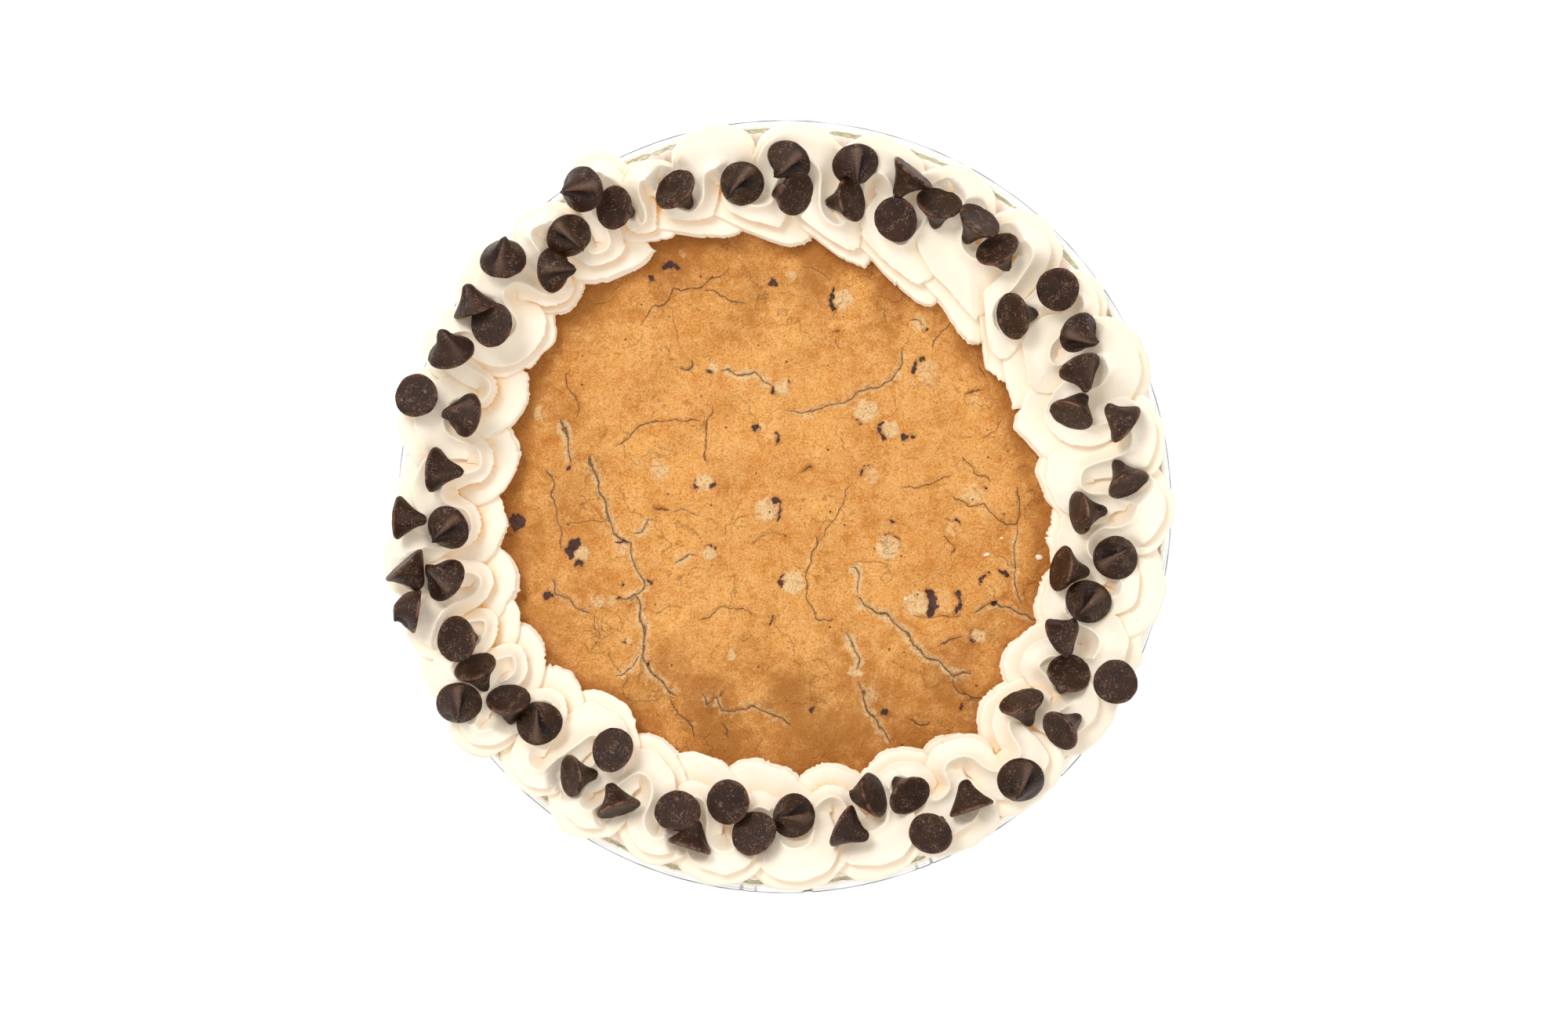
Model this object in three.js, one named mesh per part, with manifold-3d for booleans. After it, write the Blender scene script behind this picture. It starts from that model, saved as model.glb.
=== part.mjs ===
// A cookie cake in its foil pie pan: one thick chocolate chip cookie that fills a round
// pan with a curled rim, one continuous icing border piped in a zigzag round the edge,
// and large baking chips pressed into the icing.
// Millimetres, +Z up. The pan's axis is the Z axis and its flat base lies on z = 0.
// Bearings are in degrees, clockwise from +Y as seen from above.

import * as THREE from 'three';
import { mergeVertices } from 'three/addons/utils/BufferGeometryUtils.js';
import Module from 'manifold-3d';

const wasm = await Module();
wasm.setup();

// ---------------------------------------------------------------- driving dimensions

const GAP = 0.3; // kept between pieces that touch
const ROUND_STEPS = 40; // sides of the round pan and cookie

const PAN = {
  rimRadius: 111,
  height: 30,
  baseRadius: 87,
  wallTopRadius: 107,
  wallTopHeight: 29.4,
  foil: 0.7,
  beadWidth: 2.2,
  flangeHeight: 28.9,
};

const COOKIE = {
  edgeHeight: 18.9, // flat part under the icing
  openRadius: 66, // the bare, uneven face inside the icing
  faceRings: [1, 0.72, 0.38], // shares of openRadius that carry the uneven face
  crownRise: 0.9,
  bumpHeight: 0.45,
  sideGap: 0.45, // between the cookie and the pan's sloping wall
  shoulder: 2.2, // drop of the rounded top edge
  shoulderBreak: 0.3, // share of the drop where the edge turns over
};

const ICING = {
  crestHeight: 15, // from the piped rope's foot to its crest
  upperPetal: 9.3, // height of the widest ridge on each side of the rope
  lowerPetal: 5.0,
  petalLean: 0.8, // the widest ridge stands back from the lower one by this
  crestInset: 7.5, // from the silhouette of a loop to the crest of its turn
  strokeDrops: [1, 0, 0, 1], // along a stroke, from the inner turn to the outer one
  valleyDrops: [5.5, 3.9, 2.7, 0], // the same between two strokes, inside an outer turn
  footHeight: 19.3,
  outerRise: 7.5, // the rope climbs as it crosses the pan's rim
  riseFrom: 92,
  riseOver: 14,
  innerUndercut: 2.2, // the foot stands back from the silhouette
  outerUndercut: 3,
  edgeThickness: 1, // least, where the outer loops hang over the rim
  wallContact: [17, 27], // heights between which the underside follows the pan's wall
  undersideSteps: [3, 1.5], // least lengths of the underside outward of the two contacts
  wallClearance: 4.5,
  rimClearance: 1.8,
  notchDepthOuter: 6.5,
  notchDepthInner: 5,
  flankSetback: 1.4,
  facetTolerance: 0.1,
};

const CHIP = {
  radius: 6.5,
  height: 9.6,
  sides: 7,
  // Radius and height of each ring as shares of the two sizes above, base to nib.
  rings: [[1, 0.04], [0.64, 0.42], [0.27, 0.74]],
  centre: 0.35, // of the height, the point that pushes its neighbours away
  sink: 2.6,
  extraSinkTipDown: 3.4,
  seatSlopeFrom: 104, // past this radius the icing falls away
  seatSlope: 0.3,
  spacing: 0.2, // grown by this, no chip may run into another
  nudge: 0.12, // one step of a chip that is pushed aside
  rounds: 80,
  pressTogether: 0.5, // volume shared by the two chips of a joined pair
};

// Turns of the piped zigzag, clockwise: bearing and reach of each outer loop, then
// bearing and reach of the inner loop that follows it.
const LOOPS = [
  [-0.5, 109.5, 9, 72.5], [14, 109.5, 22, 70.5], [28.5, 110, 34.5, 71],
  [41.5, 111, 46.5, 70.5], [54, 110.5, 58.5, 71], [64.3, 112.5, 70, 70.5],
  [77, 111, 82.5, 73.5], [88.5, 111.5, 94.5, 76], [102.5, 111.5, 107, 76.5],
  [113.5, 111, 119.5, 76], [124, 112.5, 133, 80], [136.5, 112.5, 145, 80],
  [150, 111.5, 156.5, 76.5], [163, 109.5, 169.5, 75.5], [175.5, 110, 181, 73.5],
  [190, 110, 194.5, 74.5], [200, 109.5, 205.5, 76], [211, 112, 217, 73],
  [222.5, 111, 228.5, 78], [232.5, 115, 238.5, 80], [241, 114, 246, 82],
  [250, 113.5, 254.5, 79.5], [260.5, 117.5, 264.5, 80], [272.5, 111, 276.5, 77.5],
  [283.5, 113.5, 289.5, 80], [295.5, 114, 301.5, 81.5], [307.5, 114.5, 312.5, 84],
  [318, 112.5, 323.5, 81], [327.5, 117.5, 332.5, 84], [337, 110, 343, 79.5],
  [348, 111, 353.5, 75],
];

// Chips: x and y of the centre of the flat base, then the way the nib points, as an angle
// from +X towards +Y and one above the horizontal, in degrees.
const CHIPS = [
  [-57, 90.1, 189, 42], [-48.9, 85.2, -12, -53], [-61.7, 77.4, -50, 72],
  [-66.5, 67.6, -3, 42], [-79.8, 69.8, 80, 52], [-90.7, 59.3, 7, 14],
  [-83.8, 52.2, -15, -60], [-94.2, 43.2, 109, 44], [-104.5, 31.5, -20, -68],
  [-89.8, 25.9, 168, 38], [-100.2, 10.7, -7, 14], [-109.9, -3, -5, 8],
  [-95.5, -5.8, 220, 62], [-108.1, -16.1, -50, -8], [-95.7, -21, 150, 45],
  [-103.8, -29.7, 172, 8], [-93.6, -37.8, 12, -48], [-88.3, -45.5, -70, -30],
  [-92.3, -55.2, -80, 72], [-78.5, -54.5, -85, -36], [-70.3, -61.9, 100, 72],
  [-49.2, -69.1, -50, -66], [-61.4, -76.8, 3, -28], [-47, -86.6, 108, -18],
  [-30.6, -86.5, -72, -60], [-25.7, -99.5, 72, -6], [-16.3, -84.1, 0, 42],
  [-9, -92.8, -50, -62], [2.7, -88.4, 180, 74], [15.8, -90.5, -28, 15],
  [25.9, -82.1, 198, -28], [35.9, -82.7, 137, -48], [41.1, -93, 42, -58],
  [53.2, -86.4, 108, -6], [67, -77.5, -82, 64], [67.4, -55.1, -72, -26],
  [77.6, -63.9, 35, -17], [81.2, -47.1, 225, -38], [93.6, -49.6, -60, -84],
  [77.6, -37.8, 33, 22], [86.7, -26.8, 235, 70], [78.4, -17.8, -9, -22],
  [94.3, -14.7, 60, 76], [83.5, -1.8, 6, -20], [98, 6, 116, -28],
  [81.5, 25.7, 65, -28], [97.4, 23.1, 144, 12], [83.7, 40.3, -67, 26],
  [83, 49.8, -42, 44], [77.2, 61.5, 34, -60], [64.6, 54.3, 10, -38],
  [60.3, 73.8, -66, -27], [55.7, 81.8, 239, -15], [44, 87, 249, -24],
  [31.6, 81.7, 60, -74], [36.9, 95.3, 230, -12], [20, 97.8, -80, 58],
  [19, 86.5, 190, -35], [3.5, 89, 155, -42], [1.5, 99, 240, 48],
  [-12, 92.4, 215, 66], [-31.6, 90.9, -47, -45],
];

// Chips that touch and are one solid here, by their place in the list above.
const TOUCHING_PAIRS = [[2, 3], [5, 6], [24, 25], [56, 57], [58, 59]];

const BEAD_CORNERS = [-120, -60, 0, 60, 120]; // degrees round the section of the rim's bead
const MERGE_DISTANCE = 1e-4;
const LEVEL = 0.01; // heights closer than this count as the same

const MATERIALS = {
  foil: new THREE.MeshStandardMaterial({ color: 0xd4d4d0, roughness: 0.25, metalness: 1 }),
  cookie: new THREE.MeshStandardMaterial({ color: 0xc98a4b, roughness: 0.9, metalness: 0 }),
  icing: new THREE.MeshStandardMaterial({ color: 0xf8f0df, roughness: 0.45, metalness: 0 }),
  chocolate: new THREE.MeshStandardMaterial({ color: 0x3a2c29, roughness: 0.5, metalness: 0 }),
};

// ------------------------------------------------------------------------- helpers

/** The point at a bearing and radius, at height z. */
function atBearing(degrees, radius, z) {
  const angle = THREE.MathUtils.degToRad(degrees);
  return new THREE.Vector3(radius * Math.sin(angle), radius * Math.cos(angle), z);
}

/** A closed mesh as a solid, its shared vertices merged. */
function toSolid(geometry) {
  const bare = geometry.clone();
  bare.deleteAttribute('normal');
  bare.deleteAttribute('uv');
  const merged = mergeVertices(bare, MERGE_DISTANCE);
  const vertProperties = new Float32Array(merged.attributes.position.array);
  const triVerts = new Uint32Array(withoutFlatTriangles(merged.index.array));
  return new wasm.Manifold(new wasm.Mesh({ numProp: 3, vertProperties, triVerts }));
}

/** The triangles whose three corners differ, which leaves out those at a pole. */
function withoutFlatTriangles(index) {
  const kept = [];
  for (let i = 0; i < index.length; i += 3) {
    const [a, b, c] = index.slice(i, i + 3);
    if (a !== b && b !== c && c !== a) {
      kept.push(a, b, c);
    }
  }
  return kept;
}

/** A solid as a geometry. */
function toGeometry(solid) {
  const mesh = solid.getMesh();
  const geometry = new THREE.BufferGeometry();
  geometry.setAttribute('position', new THREE.BufferAttribute(mesh.vertProperties, 3));
  geometry.setIndex(new THREE.BufferAttribute(mesh.triVerts, 1));
  geometry.computeVertexNormals();
  return geometry;
}

/** A solid of revolution about Z, from [radius, height] points up the outside. */
function turned(profile, sides) {
  const points = profile.map(([radius, height]) => new THREE.Vector2(radius, height));
  const geometry = new THREE.LatheGeometry(points, sides);
  geometry.rotateX(Math.PI / 2);
  return toGeometry(toSolid(geometry));
}

/** A closed ring of sections, each a closed loop of the same number of points. */
function ringOfSections(sections) {
  const count = sections.length;
  const around = sections[0].length;
  const positions = sections.flat().flatMap((point) => point.toArray());
  const index = [];
  for (let i = 0; i < count; i += 1) {
    for (let j = 0; j < around; j += 1) {
      const a = i * around + j;
      const b = i * around + ((j + 1) % around);
      const c = ((i + 1) % count) * around + j;
      const d = ((i + 1) % count) * around + ((j + 1) % around);
      index.push(a, c, b, b, c, d);
    }
  }
  const geometry = new THREE.BufferGeometry();
  geometry.setAttribute('position', new THREE.Float32BufferAttribute(positions, 3));
  geometry.setIndex(index);
  return geometry;
}

/** A mesh with a name. */
function named(name, geometry, material) {
  const mesh = new THREE.Mesh(geometry, material);
  mesh.name = name;
  return mesh;
}

// ------------------------------------------------------------------------ foil pan

/** Height of the pan's inner wall at a radius. */
function wallHeight(radius) {
  const share = (radius - PAN.baseRadius) / (PAN.wallTopRadius - PAN.baseRadius);
  return THREE.MathUtils.lerp(PAN.foil, PAN.wallTopHeight, share);
}

/** Radius of the pan's inner wall at a height. */
function wallRadius(height) {
  const share = (height - PAN.foil) / (PAN.wallTopHeight - PAN.foil);
  return THREE.MathUtils.lerp(PAN.baseRadius, PAN.wallTopRadius, share);
}

/** Flat base, sloping wall, narrow flange and a rounded bead at the rim. */
function foilPan() {
  const beadRadius = PAN.beadWidth / 2;
  const beadCentre = [PAN.rimRadius - beadRadius, PAN.height - beadRadius];
  const bead = BEAD_CORNERS.map((degrees) => {
    const angle = THREE.MathUtils.degToRad(degrees);
    const outward = beadRadius * Math.cos(angle);
    return [beadCentre[0] + outward, beadCentre[1] + beadRadius * Math.sin(angle)];
  });
  const profile = [
    [0, 0],
    [PAN.baseRadius, 0],
    [PAN.wallTopRadius + PAN.foil, PAN.flangeHeight - PAN.foil],
    ...bead,
    [PAN.rimRadius - PAN.beadWidth, PAN.flangeHeight],
    [PAN.wallTopRadius + PAN.foil, PAN.flangeHeight],
    [PAN.wallTopRadius, PAN.wallTopHeight],
    [PAN.baseRadius, PAN.foil],
    [0, PAN.foil],
  ];
  return named('foil_pan', turned(profile, ROUND_STEPS), MATERIALS.foil);
}

// -------------------------------------------------------------------------- cookie

/** Height of the cookie's face: flat under the icing, a low uneven crown inside it. */
function cookieTop(x, y) {
  const inside = 1 - THREE.MathUtils.smoothstep(Math.hypot(x, y), 0, COOKIE.openRadius);
  const bumps = Math.sin(x / 9 + 1.3) * Math.cos(y / 11 - 0.6) + Math.sin((x + y) / 17);
  const rise = COOKIE.crownRise + COOKIE.bumpHeight * bumps;
  return COOKIE.edgeHeight + rise * inside;
}

/** The cookie fills the pan to its top edge, with a rounded shoulder. */
function cookie() {
  const foot = PAN.foil + GAP;
  const shoulderHeight = COOKIE.edgeHeight - COOKIE.shoulder;
  const edge = wallRadius(shoulderHeight) - COOKIE.sideGap;
  const turnOver = COOKIE.shoulder * COOKIE.shoulderBreak;
  const profile = [
    [0, foot],
    [wallRadius(foot) - COOKIE.sideGap, foot],
    [edge, shoulderHeight],
    [edge - turnOver, COOKIE.edgeHeight - turnOver],
    [edge - COOKIE.shoulder, COOKIE.edgeHeight],
    ...COOKIE.faceRings.map((share) => [COOKIE.openRadius * share, COOKIE.edgeHeight]),
    [0, COOKIE.edgeHeight],
  ];
  const geometry = turned(profile, ROUND_STEPS);
  const position = geometry.attributes.position;
  for (let i = 0; i < position.count; i += 1) {
    if (position.getZ(i) > COOKIE.edgeHeight - LEVEL) {
      position.setZ(i, cookieTop(position.getX(i), position.getY(i)));
    }
  }
  return named('cookie', geometry, MATERIALS.cookie);
}

// -------------------------------------------------------------------- icing border

/** Foot of the piped rope: on the cookie inside, climbing over the pan's rim outside. */
function footHeight(radius) {
  const end = ICING.riseFrom + ICING.riseOver;
  const climb = THREE.MathUtils.smoothstep(radius, ICING.riseFrom, end);
  return ICING.footHeight + ICING.outerRise * climb;
}

/** Lowest height that clears the cookie, the pan's wall and its rim. */
function restHeight(radius) {
  const overWall = wallHeight(radius) + ICING.wallClearance;
  const overRim = PAN.height + ICING.rimClearance;
  return Math.max(ICING.footHeight, Math.min(overWall, overRim));
}

/**
 * One section of the border, as a closed loop from the inner foot over the top and back
 * under. The drops lower its top points below the crest of the rope, from inside to outside.
 */
function borderSection(bearing, innerReach, outerReach, drops) {
  const innerTurn = innerReach + ICING.crestInset;
  const outerTurn = outerReach - ICING.crestInset;
  const footOut = outerReach - ICING.outerUndercut;
  const [innerContact, outerContact] = ICING.wallContact.map(wallRadius);
  const [innerStep, outerStep] = ICING.undersideSteps;
  const underOut = Math.min(outerContact, footOut - outerStep);
  const underIn = Math.min(innerContact, underOut - innerStep);
  const hungTip = restHeight(footOut) + ICING.edgeThickness;
  const lowerTip = Math.max(footHeight(outerReach) + ICING.lowerPetal, hungTip);
  const top = drops.map((drop, i) => {
    const radius = THREE.MathUtils.lerp(innerTurn, outerTurn, i / (drops.length - 1));
    return [radius, footHeight(radius) + ICING.crestHeight - drop];
  });
  const outline = [
    [innerReach + ICING.innerUndercut, ICING.footHeight],
    [innerReach, ICING.footHeight + ICING.lowerPetal],
    [innerReach + ICING.petalLean, ICING.footHeight + ICING.upperPetal],
    ...top,
    [outerReach - ICING.petalLean, footHeight(outerReach) + ICING.upperPetal],
    [outerReach, lowerTip],
    [footOut, restHeight(footOut)],
    [underOut, restHeight(underOut)],
    [underIn, restHeight(underIn)],
  ];
  return outline.map(([radius, height]) => atBearing(bearing, radius, height));
}

/** Four sections a loop: outer turn, stroke in, inner turn, stroke out. */
function loopSections(loop, next) {
  const [outerBearing, outerReach, innerBearing, innerReach] = loop;
  const nextOuterBearing = next[0] > outerBearing ? next[0] : next[0] + 360;
  const valley = ICING.valleyDrops;
  const stroke = ICING.strokeDrops;
  const flankIn = innerReach + ICING.flankSetback;
  const flankOut = outerReach - ICING.flankSetback;
  const notchIn = innerReach + ICING.notchDepthInner;
  const notchOut = (outerReach + next[1]) / 2 - ICING.notchDepthOuter;
  const strokeIn = (outerBearing + innerBearing) / 2;
  const strokeOut = (innerBearing + nextOuterBearing) / 2;
  return [
    borderSection(outerBearing, notchIn, outerReach, valley),
    borderSection(strokeIn, flankIn, flankOut, stroke),
    borderSection(innerBearing, innerReach, notchOut, valley.toReversed()),
    borderSection(strokeOut, flankIn, flankOut, stroke),
  ];
}

/** The whole border, with a dent under each chip that is pressed into it. */
function icingBorder(chipSolids) {
  const sections = LOOPS.flatMap((loop, i) => loopSections(loop, LOOPS[(i + 1) % LOOPS.length]));
  const whole = toSolid(ringOfSections(sections));
  const dented = chipSolids.reduce((rest, chip) => rest.subtract(chip), whole);
  const pieces = dented.decompose().sort((a, b) => b.volume() - a.volume());
  const border = pieces[0].simplify(ICING.facetTolerance);
  return named('icing_border', toGeometry(border), MATERIALS.icing);
}

// --------------------------------------------------------------------------- chips

/** A baking chip: flat base on z = 0, sides hollowed towards the nib, grown all round. */
function chipGeometry(growth) {
  const radius = CHIP.radius + growth;
  const height = CHIP.height + growth;
  const rings = CHIP.rings.map(([r, h]) => [r * radius, h * height]);
  return turned([[0, -growth], ...rings, [0, height]], CHIP.sides);
}

/** A chip as it lies: its turn, the centre of its base, and its own middle. */
function placedChip([x, y, azimuth, elevation], heading) {
  const up = THREE.MathUtils.degToRad(elevation);
  const round = THREE.MathUtils.degToRad(azimuth);
  const level = Math.cos(up);
  const axis = new THREE.Vector3(level * Math.cos(round), level * Math.sin(round), Math.sin(up));
  const turn = new THREE.Quaternion().setFromUnitVectors(new THREE.Vector3(0, 0, 1), axis);
  const lowest = Math.min(-CHIP.radius * level, CHIP.height * Math.sin(up));
  const base = new THREE.Vector3(x, y, seatHeight(x, y, axis) - lowest);
  return { heading, axis, turn, base };
}

/** Where a chip's lowest point comes to rest, a little below the rope's crest. */
function seatHeight(x, y, axis) {
  const reach = Math.hypot(x + axis.x * CHIP.height / 2, y + axis.y * CHIP.height / 2);
  const crest = footHeight(reach) + ICING.crestHeight;
  const fall = CHIP.seatSlope * Math.max(0, reach - CHIP.seatSlopeFrom);
  const sink = CHIP.sink + CHIP.extraSinkTipDown * Math.max(0, -axis.z);
  return crest - fall - sink;
}

/** A chip's solid where it lies, grown all round. */
function chipSolid(chip, growth) {
  const matrix = new THREE.Matrix4().compose(chip.base, chip.turn, new THREE.Vector3(1, 1, 1));
  return toSolid(chipGeometry(growth).applyMatrix4(matrix));
}

/** The point inside a chip that it is pushed by. */
function middleOf(chip) {
  return chip.base.clone().addScaledVector(chip.axis, CHIP.height * CHIP.centre);
}

/** True for two chips that are one piece in the end. */
function isPair(a, b) {
  return TOUCHING_PAIRS.some(([first, second]) => first === a.heading && second === b.heading);
}

/** Pushes chips that run into each other apart, a little at a time. */
function settle(chips) {
  for (let round = 0; round < CHIP.rounds; round += 1) {
    let moved = false;
    const solids = chips.map((chip) => chipSolid(chip, CHIP.spacing));
    chips.forEach((first, i) => {
      chips.slice(i + 1).forEach((second, k) => {
        const apart = middleOf(second).sub(middleOf(first));
        const near = apart.length() < CHIP.radius + CHIP.height;
        if (!near || isPair(first, second)) {
          return;
        }
        if (solids[i].intersect(solids[i + 1 + k]).volume() > 0) {
          apart.setLength(CHIP.nudge);
          first.base.sub(apart);
          second.base.add(apart);
          moved = true;
        }
      });
    });
    if (!moved) {
      return;
    }
  }
}

/** Moves the second chip of each pair along the line between them until they meet. */
function pressPairs(chips) {
  for (const [first, second] of TOUCHING_PAIRS) {
    const still = chipSolid(chips[first], 0);
    const towards = middleOf(chips[first]).sub(middleOf(chips[second]));
    const step = towards.clone().setLength(CHIP.nudge);
    for (let i = 0; i < CHIP.rounds; i += 1) {
      if (still.intersect(chipSolid(chips[second], 0)).volume() > CHIP.pressTogether) {
        break;
      }
      chips[second].base.add(step);
    }
  }
}

/** One mesh a chip, named by its place round the ring, or one for each joined pair. */
function chipMeshes(chips) {
  const joined = new Map(TOUCHING_PAIRS.map(([first, second]) => [first, second]));
  const seconds = new Set(joined.values());
  return chips.flatMap((chip, i) => {
    if (seconds.has(i)) {
      return [];
    }
    const number = String(i + 1).padStart(2, '0');
    if (!joined.has(i)) {
      const mesh = named(`chip_${number}`, chipGeometry(0), MATERIALS.chocolate);
      mesh.position.copy(chip.base);
      mesh.quaternion.copy(chip.turn);
      return [mesh];
    }
    const both = chipSolid(chip, 0).add(chipSolid(chips[joined.get(i)], 0));
    const geometry = toGeometry(both);
    geometry.translate(-chip.base.x, -chip.base.y, -chip.base.z);
    const other = String(joined.get(i) + 1).padStart(2, '0');
    const mesh = named(`chips_${number}_${other}`, geometry, MATERIALS.chocolate);
    mesh.position.copy(chip.base);
    return [mesh];
  });
}

// ------------------------------------------------------------------------ assembly

const chips = CHIPS.map(placedChip);
settle(chips);
pressPairs(chips);

const cake = new THREE.Group();
cake.add(foilPan());
cake.add(cookie());
cake.add(icingBorder(chips.map((chip) => chipSolid(chip, GAP))));
cake.add(...chipMeshes(chips));

export default cake;
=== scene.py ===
"""The looks of a cookie cake in a foil pie pan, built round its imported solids.

Metres, +Z up, the pan's axis on Z and its base on z = 0. Sizes below are in millimetres
and bearings in degrees, clockwise from +Y as seen from above. Every mesh is worked out
with numpy as whole arrays: a surface is a function of two parameters on a grid.
"""

import bmesh
import bpy
import numpy as np
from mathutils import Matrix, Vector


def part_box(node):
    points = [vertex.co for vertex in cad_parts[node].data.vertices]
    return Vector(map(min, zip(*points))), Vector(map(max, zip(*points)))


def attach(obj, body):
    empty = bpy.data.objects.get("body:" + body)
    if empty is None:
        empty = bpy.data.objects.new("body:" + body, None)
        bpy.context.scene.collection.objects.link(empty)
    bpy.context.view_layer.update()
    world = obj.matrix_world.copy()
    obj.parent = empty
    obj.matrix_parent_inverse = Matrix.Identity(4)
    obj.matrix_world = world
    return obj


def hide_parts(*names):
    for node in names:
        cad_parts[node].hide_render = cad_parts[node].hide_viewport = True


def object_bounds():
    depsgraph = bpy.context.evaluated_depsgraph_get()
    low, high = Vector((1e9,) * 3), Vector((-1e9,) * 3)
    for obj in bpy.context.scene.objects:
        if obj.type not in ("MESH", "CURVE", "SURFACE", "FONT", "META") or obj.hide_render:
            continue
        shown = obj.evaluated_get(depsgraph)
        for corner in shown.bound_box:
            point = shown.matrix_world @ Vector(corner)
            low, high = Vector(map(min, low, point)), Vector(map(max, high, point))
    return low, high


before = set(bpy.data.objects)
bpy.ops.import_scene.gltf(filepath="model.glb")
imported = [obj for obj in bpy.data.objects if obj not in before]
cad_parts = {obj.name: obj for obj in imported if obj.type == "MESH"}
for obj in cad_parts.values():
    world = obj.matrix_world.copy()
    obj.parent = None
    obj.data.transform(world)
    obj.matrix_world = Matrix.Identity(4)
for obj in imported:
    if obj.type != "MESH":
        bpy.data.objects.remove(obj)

cad_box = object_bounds()
MM = 0.001
TAU = 2 * np.pi

# ------------------------------------------------------------------ sizes, millimetres

# The pan: its rim as packed, the bottom's radius, where the wall meets the rim, the
# foil's thickness, how many pleats run round it, and how many of the profile's last rows
# lie on its outside.
RIM_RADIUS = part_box("foil_pan")[1].y / MM
RIM_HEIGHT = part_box("foil_pan")[1].z / MM
BASE_RADIUS = 87.0
WALL_TOP = (107.2, 28.7)
FOIL = 0.35
PLEATS = 214
OUTSIDE_ROWS = 15

# Icing and chips are held a little inside the box of the solids. Nothing that shows may
# pass the box of the solids.
BOX_LOW = np.array(cad_box[0]) / MM + 0.03
BOX_TOP = np.array(cad_box[1]) / MM - 0.03

# The cookie: height of its face's edge, its radius, where the face ends, and radius and
# height of the side's rows under that edge.
COOKIE_EDGE = 18.9
COOKIE_RADIUS = 97.6
FACE_RADIUS = 84.0
COOKIE_SIDE = ((98.2, 17.9), (97.9, 16.6), (BASE_RADIUS, 1.1), (0, 1.1))

# Sides where the face is darker, partly from browning and partly as painted shade: the
# bottom of the picture, its left and its top. How deep, the way there, size and seed of
# the waves in the limit, and where it begins and is full.
BROWNED_AND_SHADED_SIDES = (
    (0.85, (0, -1), 22, 16, 18, 70), (0.5, (-1, 0), 20, 18, 36, 72), (0.55, (0, 1), 20, 19, 32, 70),
)

# The border: its foot's height on the cookie, how far the foot climbs towards the rim, from
# which radius and over how much of it, and the crest's height over the foot.
FOOT = 19.0
FOOT_RISE, RISE_FROM, RISE_OVER = 7.6, 92.0, 14.0
CREST = 15.0

# The plain solid chip: its sides, and rings by share of the radius and of the height.
CHIP_RADIUS, CHIP_HEIGHT, CHIP_SIDES = 6.5, 9.6, 7
CHIP_RINGS = ((1.0, 0.04), (0.64, 0.42), (0.27, 0.74))

# One row a loop of the piped rope, clockwise from the top of the picture. Outer turn:
# bearing, then the radius of the crest, of the upper petal's edge and of the silhouette.
# Inner turn that follows it: the same four.
LOOPS = np.array([
    (2.5, 99.7, 107.4, 109.5, 10.5, 81.8, 75.9, 72.5),
    (15.8, 98.6, 105.6, 109.5, 23, 81.4, 74.3, 70.5),
    (29, 100.8, 106.1, 110, 36.5, 89, 76.3, 71),
    (42.5, 102.2, 107.4, 111, 49.5, 80, 74.5, 70.5),
    (55, 103.3, 107.9, 110.5, 61, 86.7, 78.4, 71),
    (66, 100.4, 109.7, 112.5, 72.5, 84.9, 78.8, 70.5),
    (78, 100.8, 107.9, 111, 85.5, 84.5, 75.4, 73.5),
    (90, 100.4, 108.3, 111.5, 97, 87.2, 78.4, 76),
    (103.5, 98.6, 103.6, 111.5, 109, 85.4, 78.6, 76.5),
    (114.5, 98.4, 106.3, 111, 122, 85.6, 80.4, 76),
    (124.5, 98.2, 106.3, 112.5, 132, 88.3, 83.5, 80),
    (138.5, 98.2, 106.4, 111.5, 147, 86.7, 81.3, 80),
    (151.5, 94.8, 105.2, 111.5, 157, 85.6, 79.9, 76.5),
    (165, 95.9, 105.6, 109.5, 171.5, 84, 80.8, 75.5),
    (178, 97.7, 107, 110, 184.5, 86, 81.7, 73.5),
    (190.5, 99.9, 106.3, 110, 197, 86.7, 82.4, 74.5),
    (201.5, 101.5, 106.5, 109.5, 207.5, 86.3, 79.5, 76),
    (214, 103.1, 108.3, 112, 219, 84.9, 76.3, 73),
    (224, 103.1, 108.3, 111, 230, 87.2, 83.5, 78),
    (234.5, 107.5, 111.9, 115, 241, 88.7, 85.3, 80),
    (243, 103.7, 110.8, 114, 249, 91.9, 88.5, 82),
    (251, 103.7, 110.1, 113.5, 256.5, 89.4, 86, 79.5),
    (261.5, 107.1, 113.1, 116, 266.5, 89.4, 86.9, 80),
    (273.5, 98.2, 106.3, 111, 278, 87.4, 84.2, 77.5),
    (285, 100.4, 108.5, 113.5, 291.5, 90.3, 88.7, 80),
    (296, 106, 110.8, 114, 303, 91.9, 84.2, 81.5),
    (308, 100.8, 109.7, 114.5, 314, 89.4, 86.2, 84),
    (318, 106.6, 110.8, 112.5, 325, 89.4, 85.8, 81),
    (330.5, 109, 113.2, 116, 333.5, 90.5, 87.6, 84),
    (336.5, 101.5, 106, 107.5, 343, 89.4, 85.3, 79.5),
    (348.5, 98.6, 108.3, 111, 355.5, 86, 80.4, 75),
])

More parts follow.
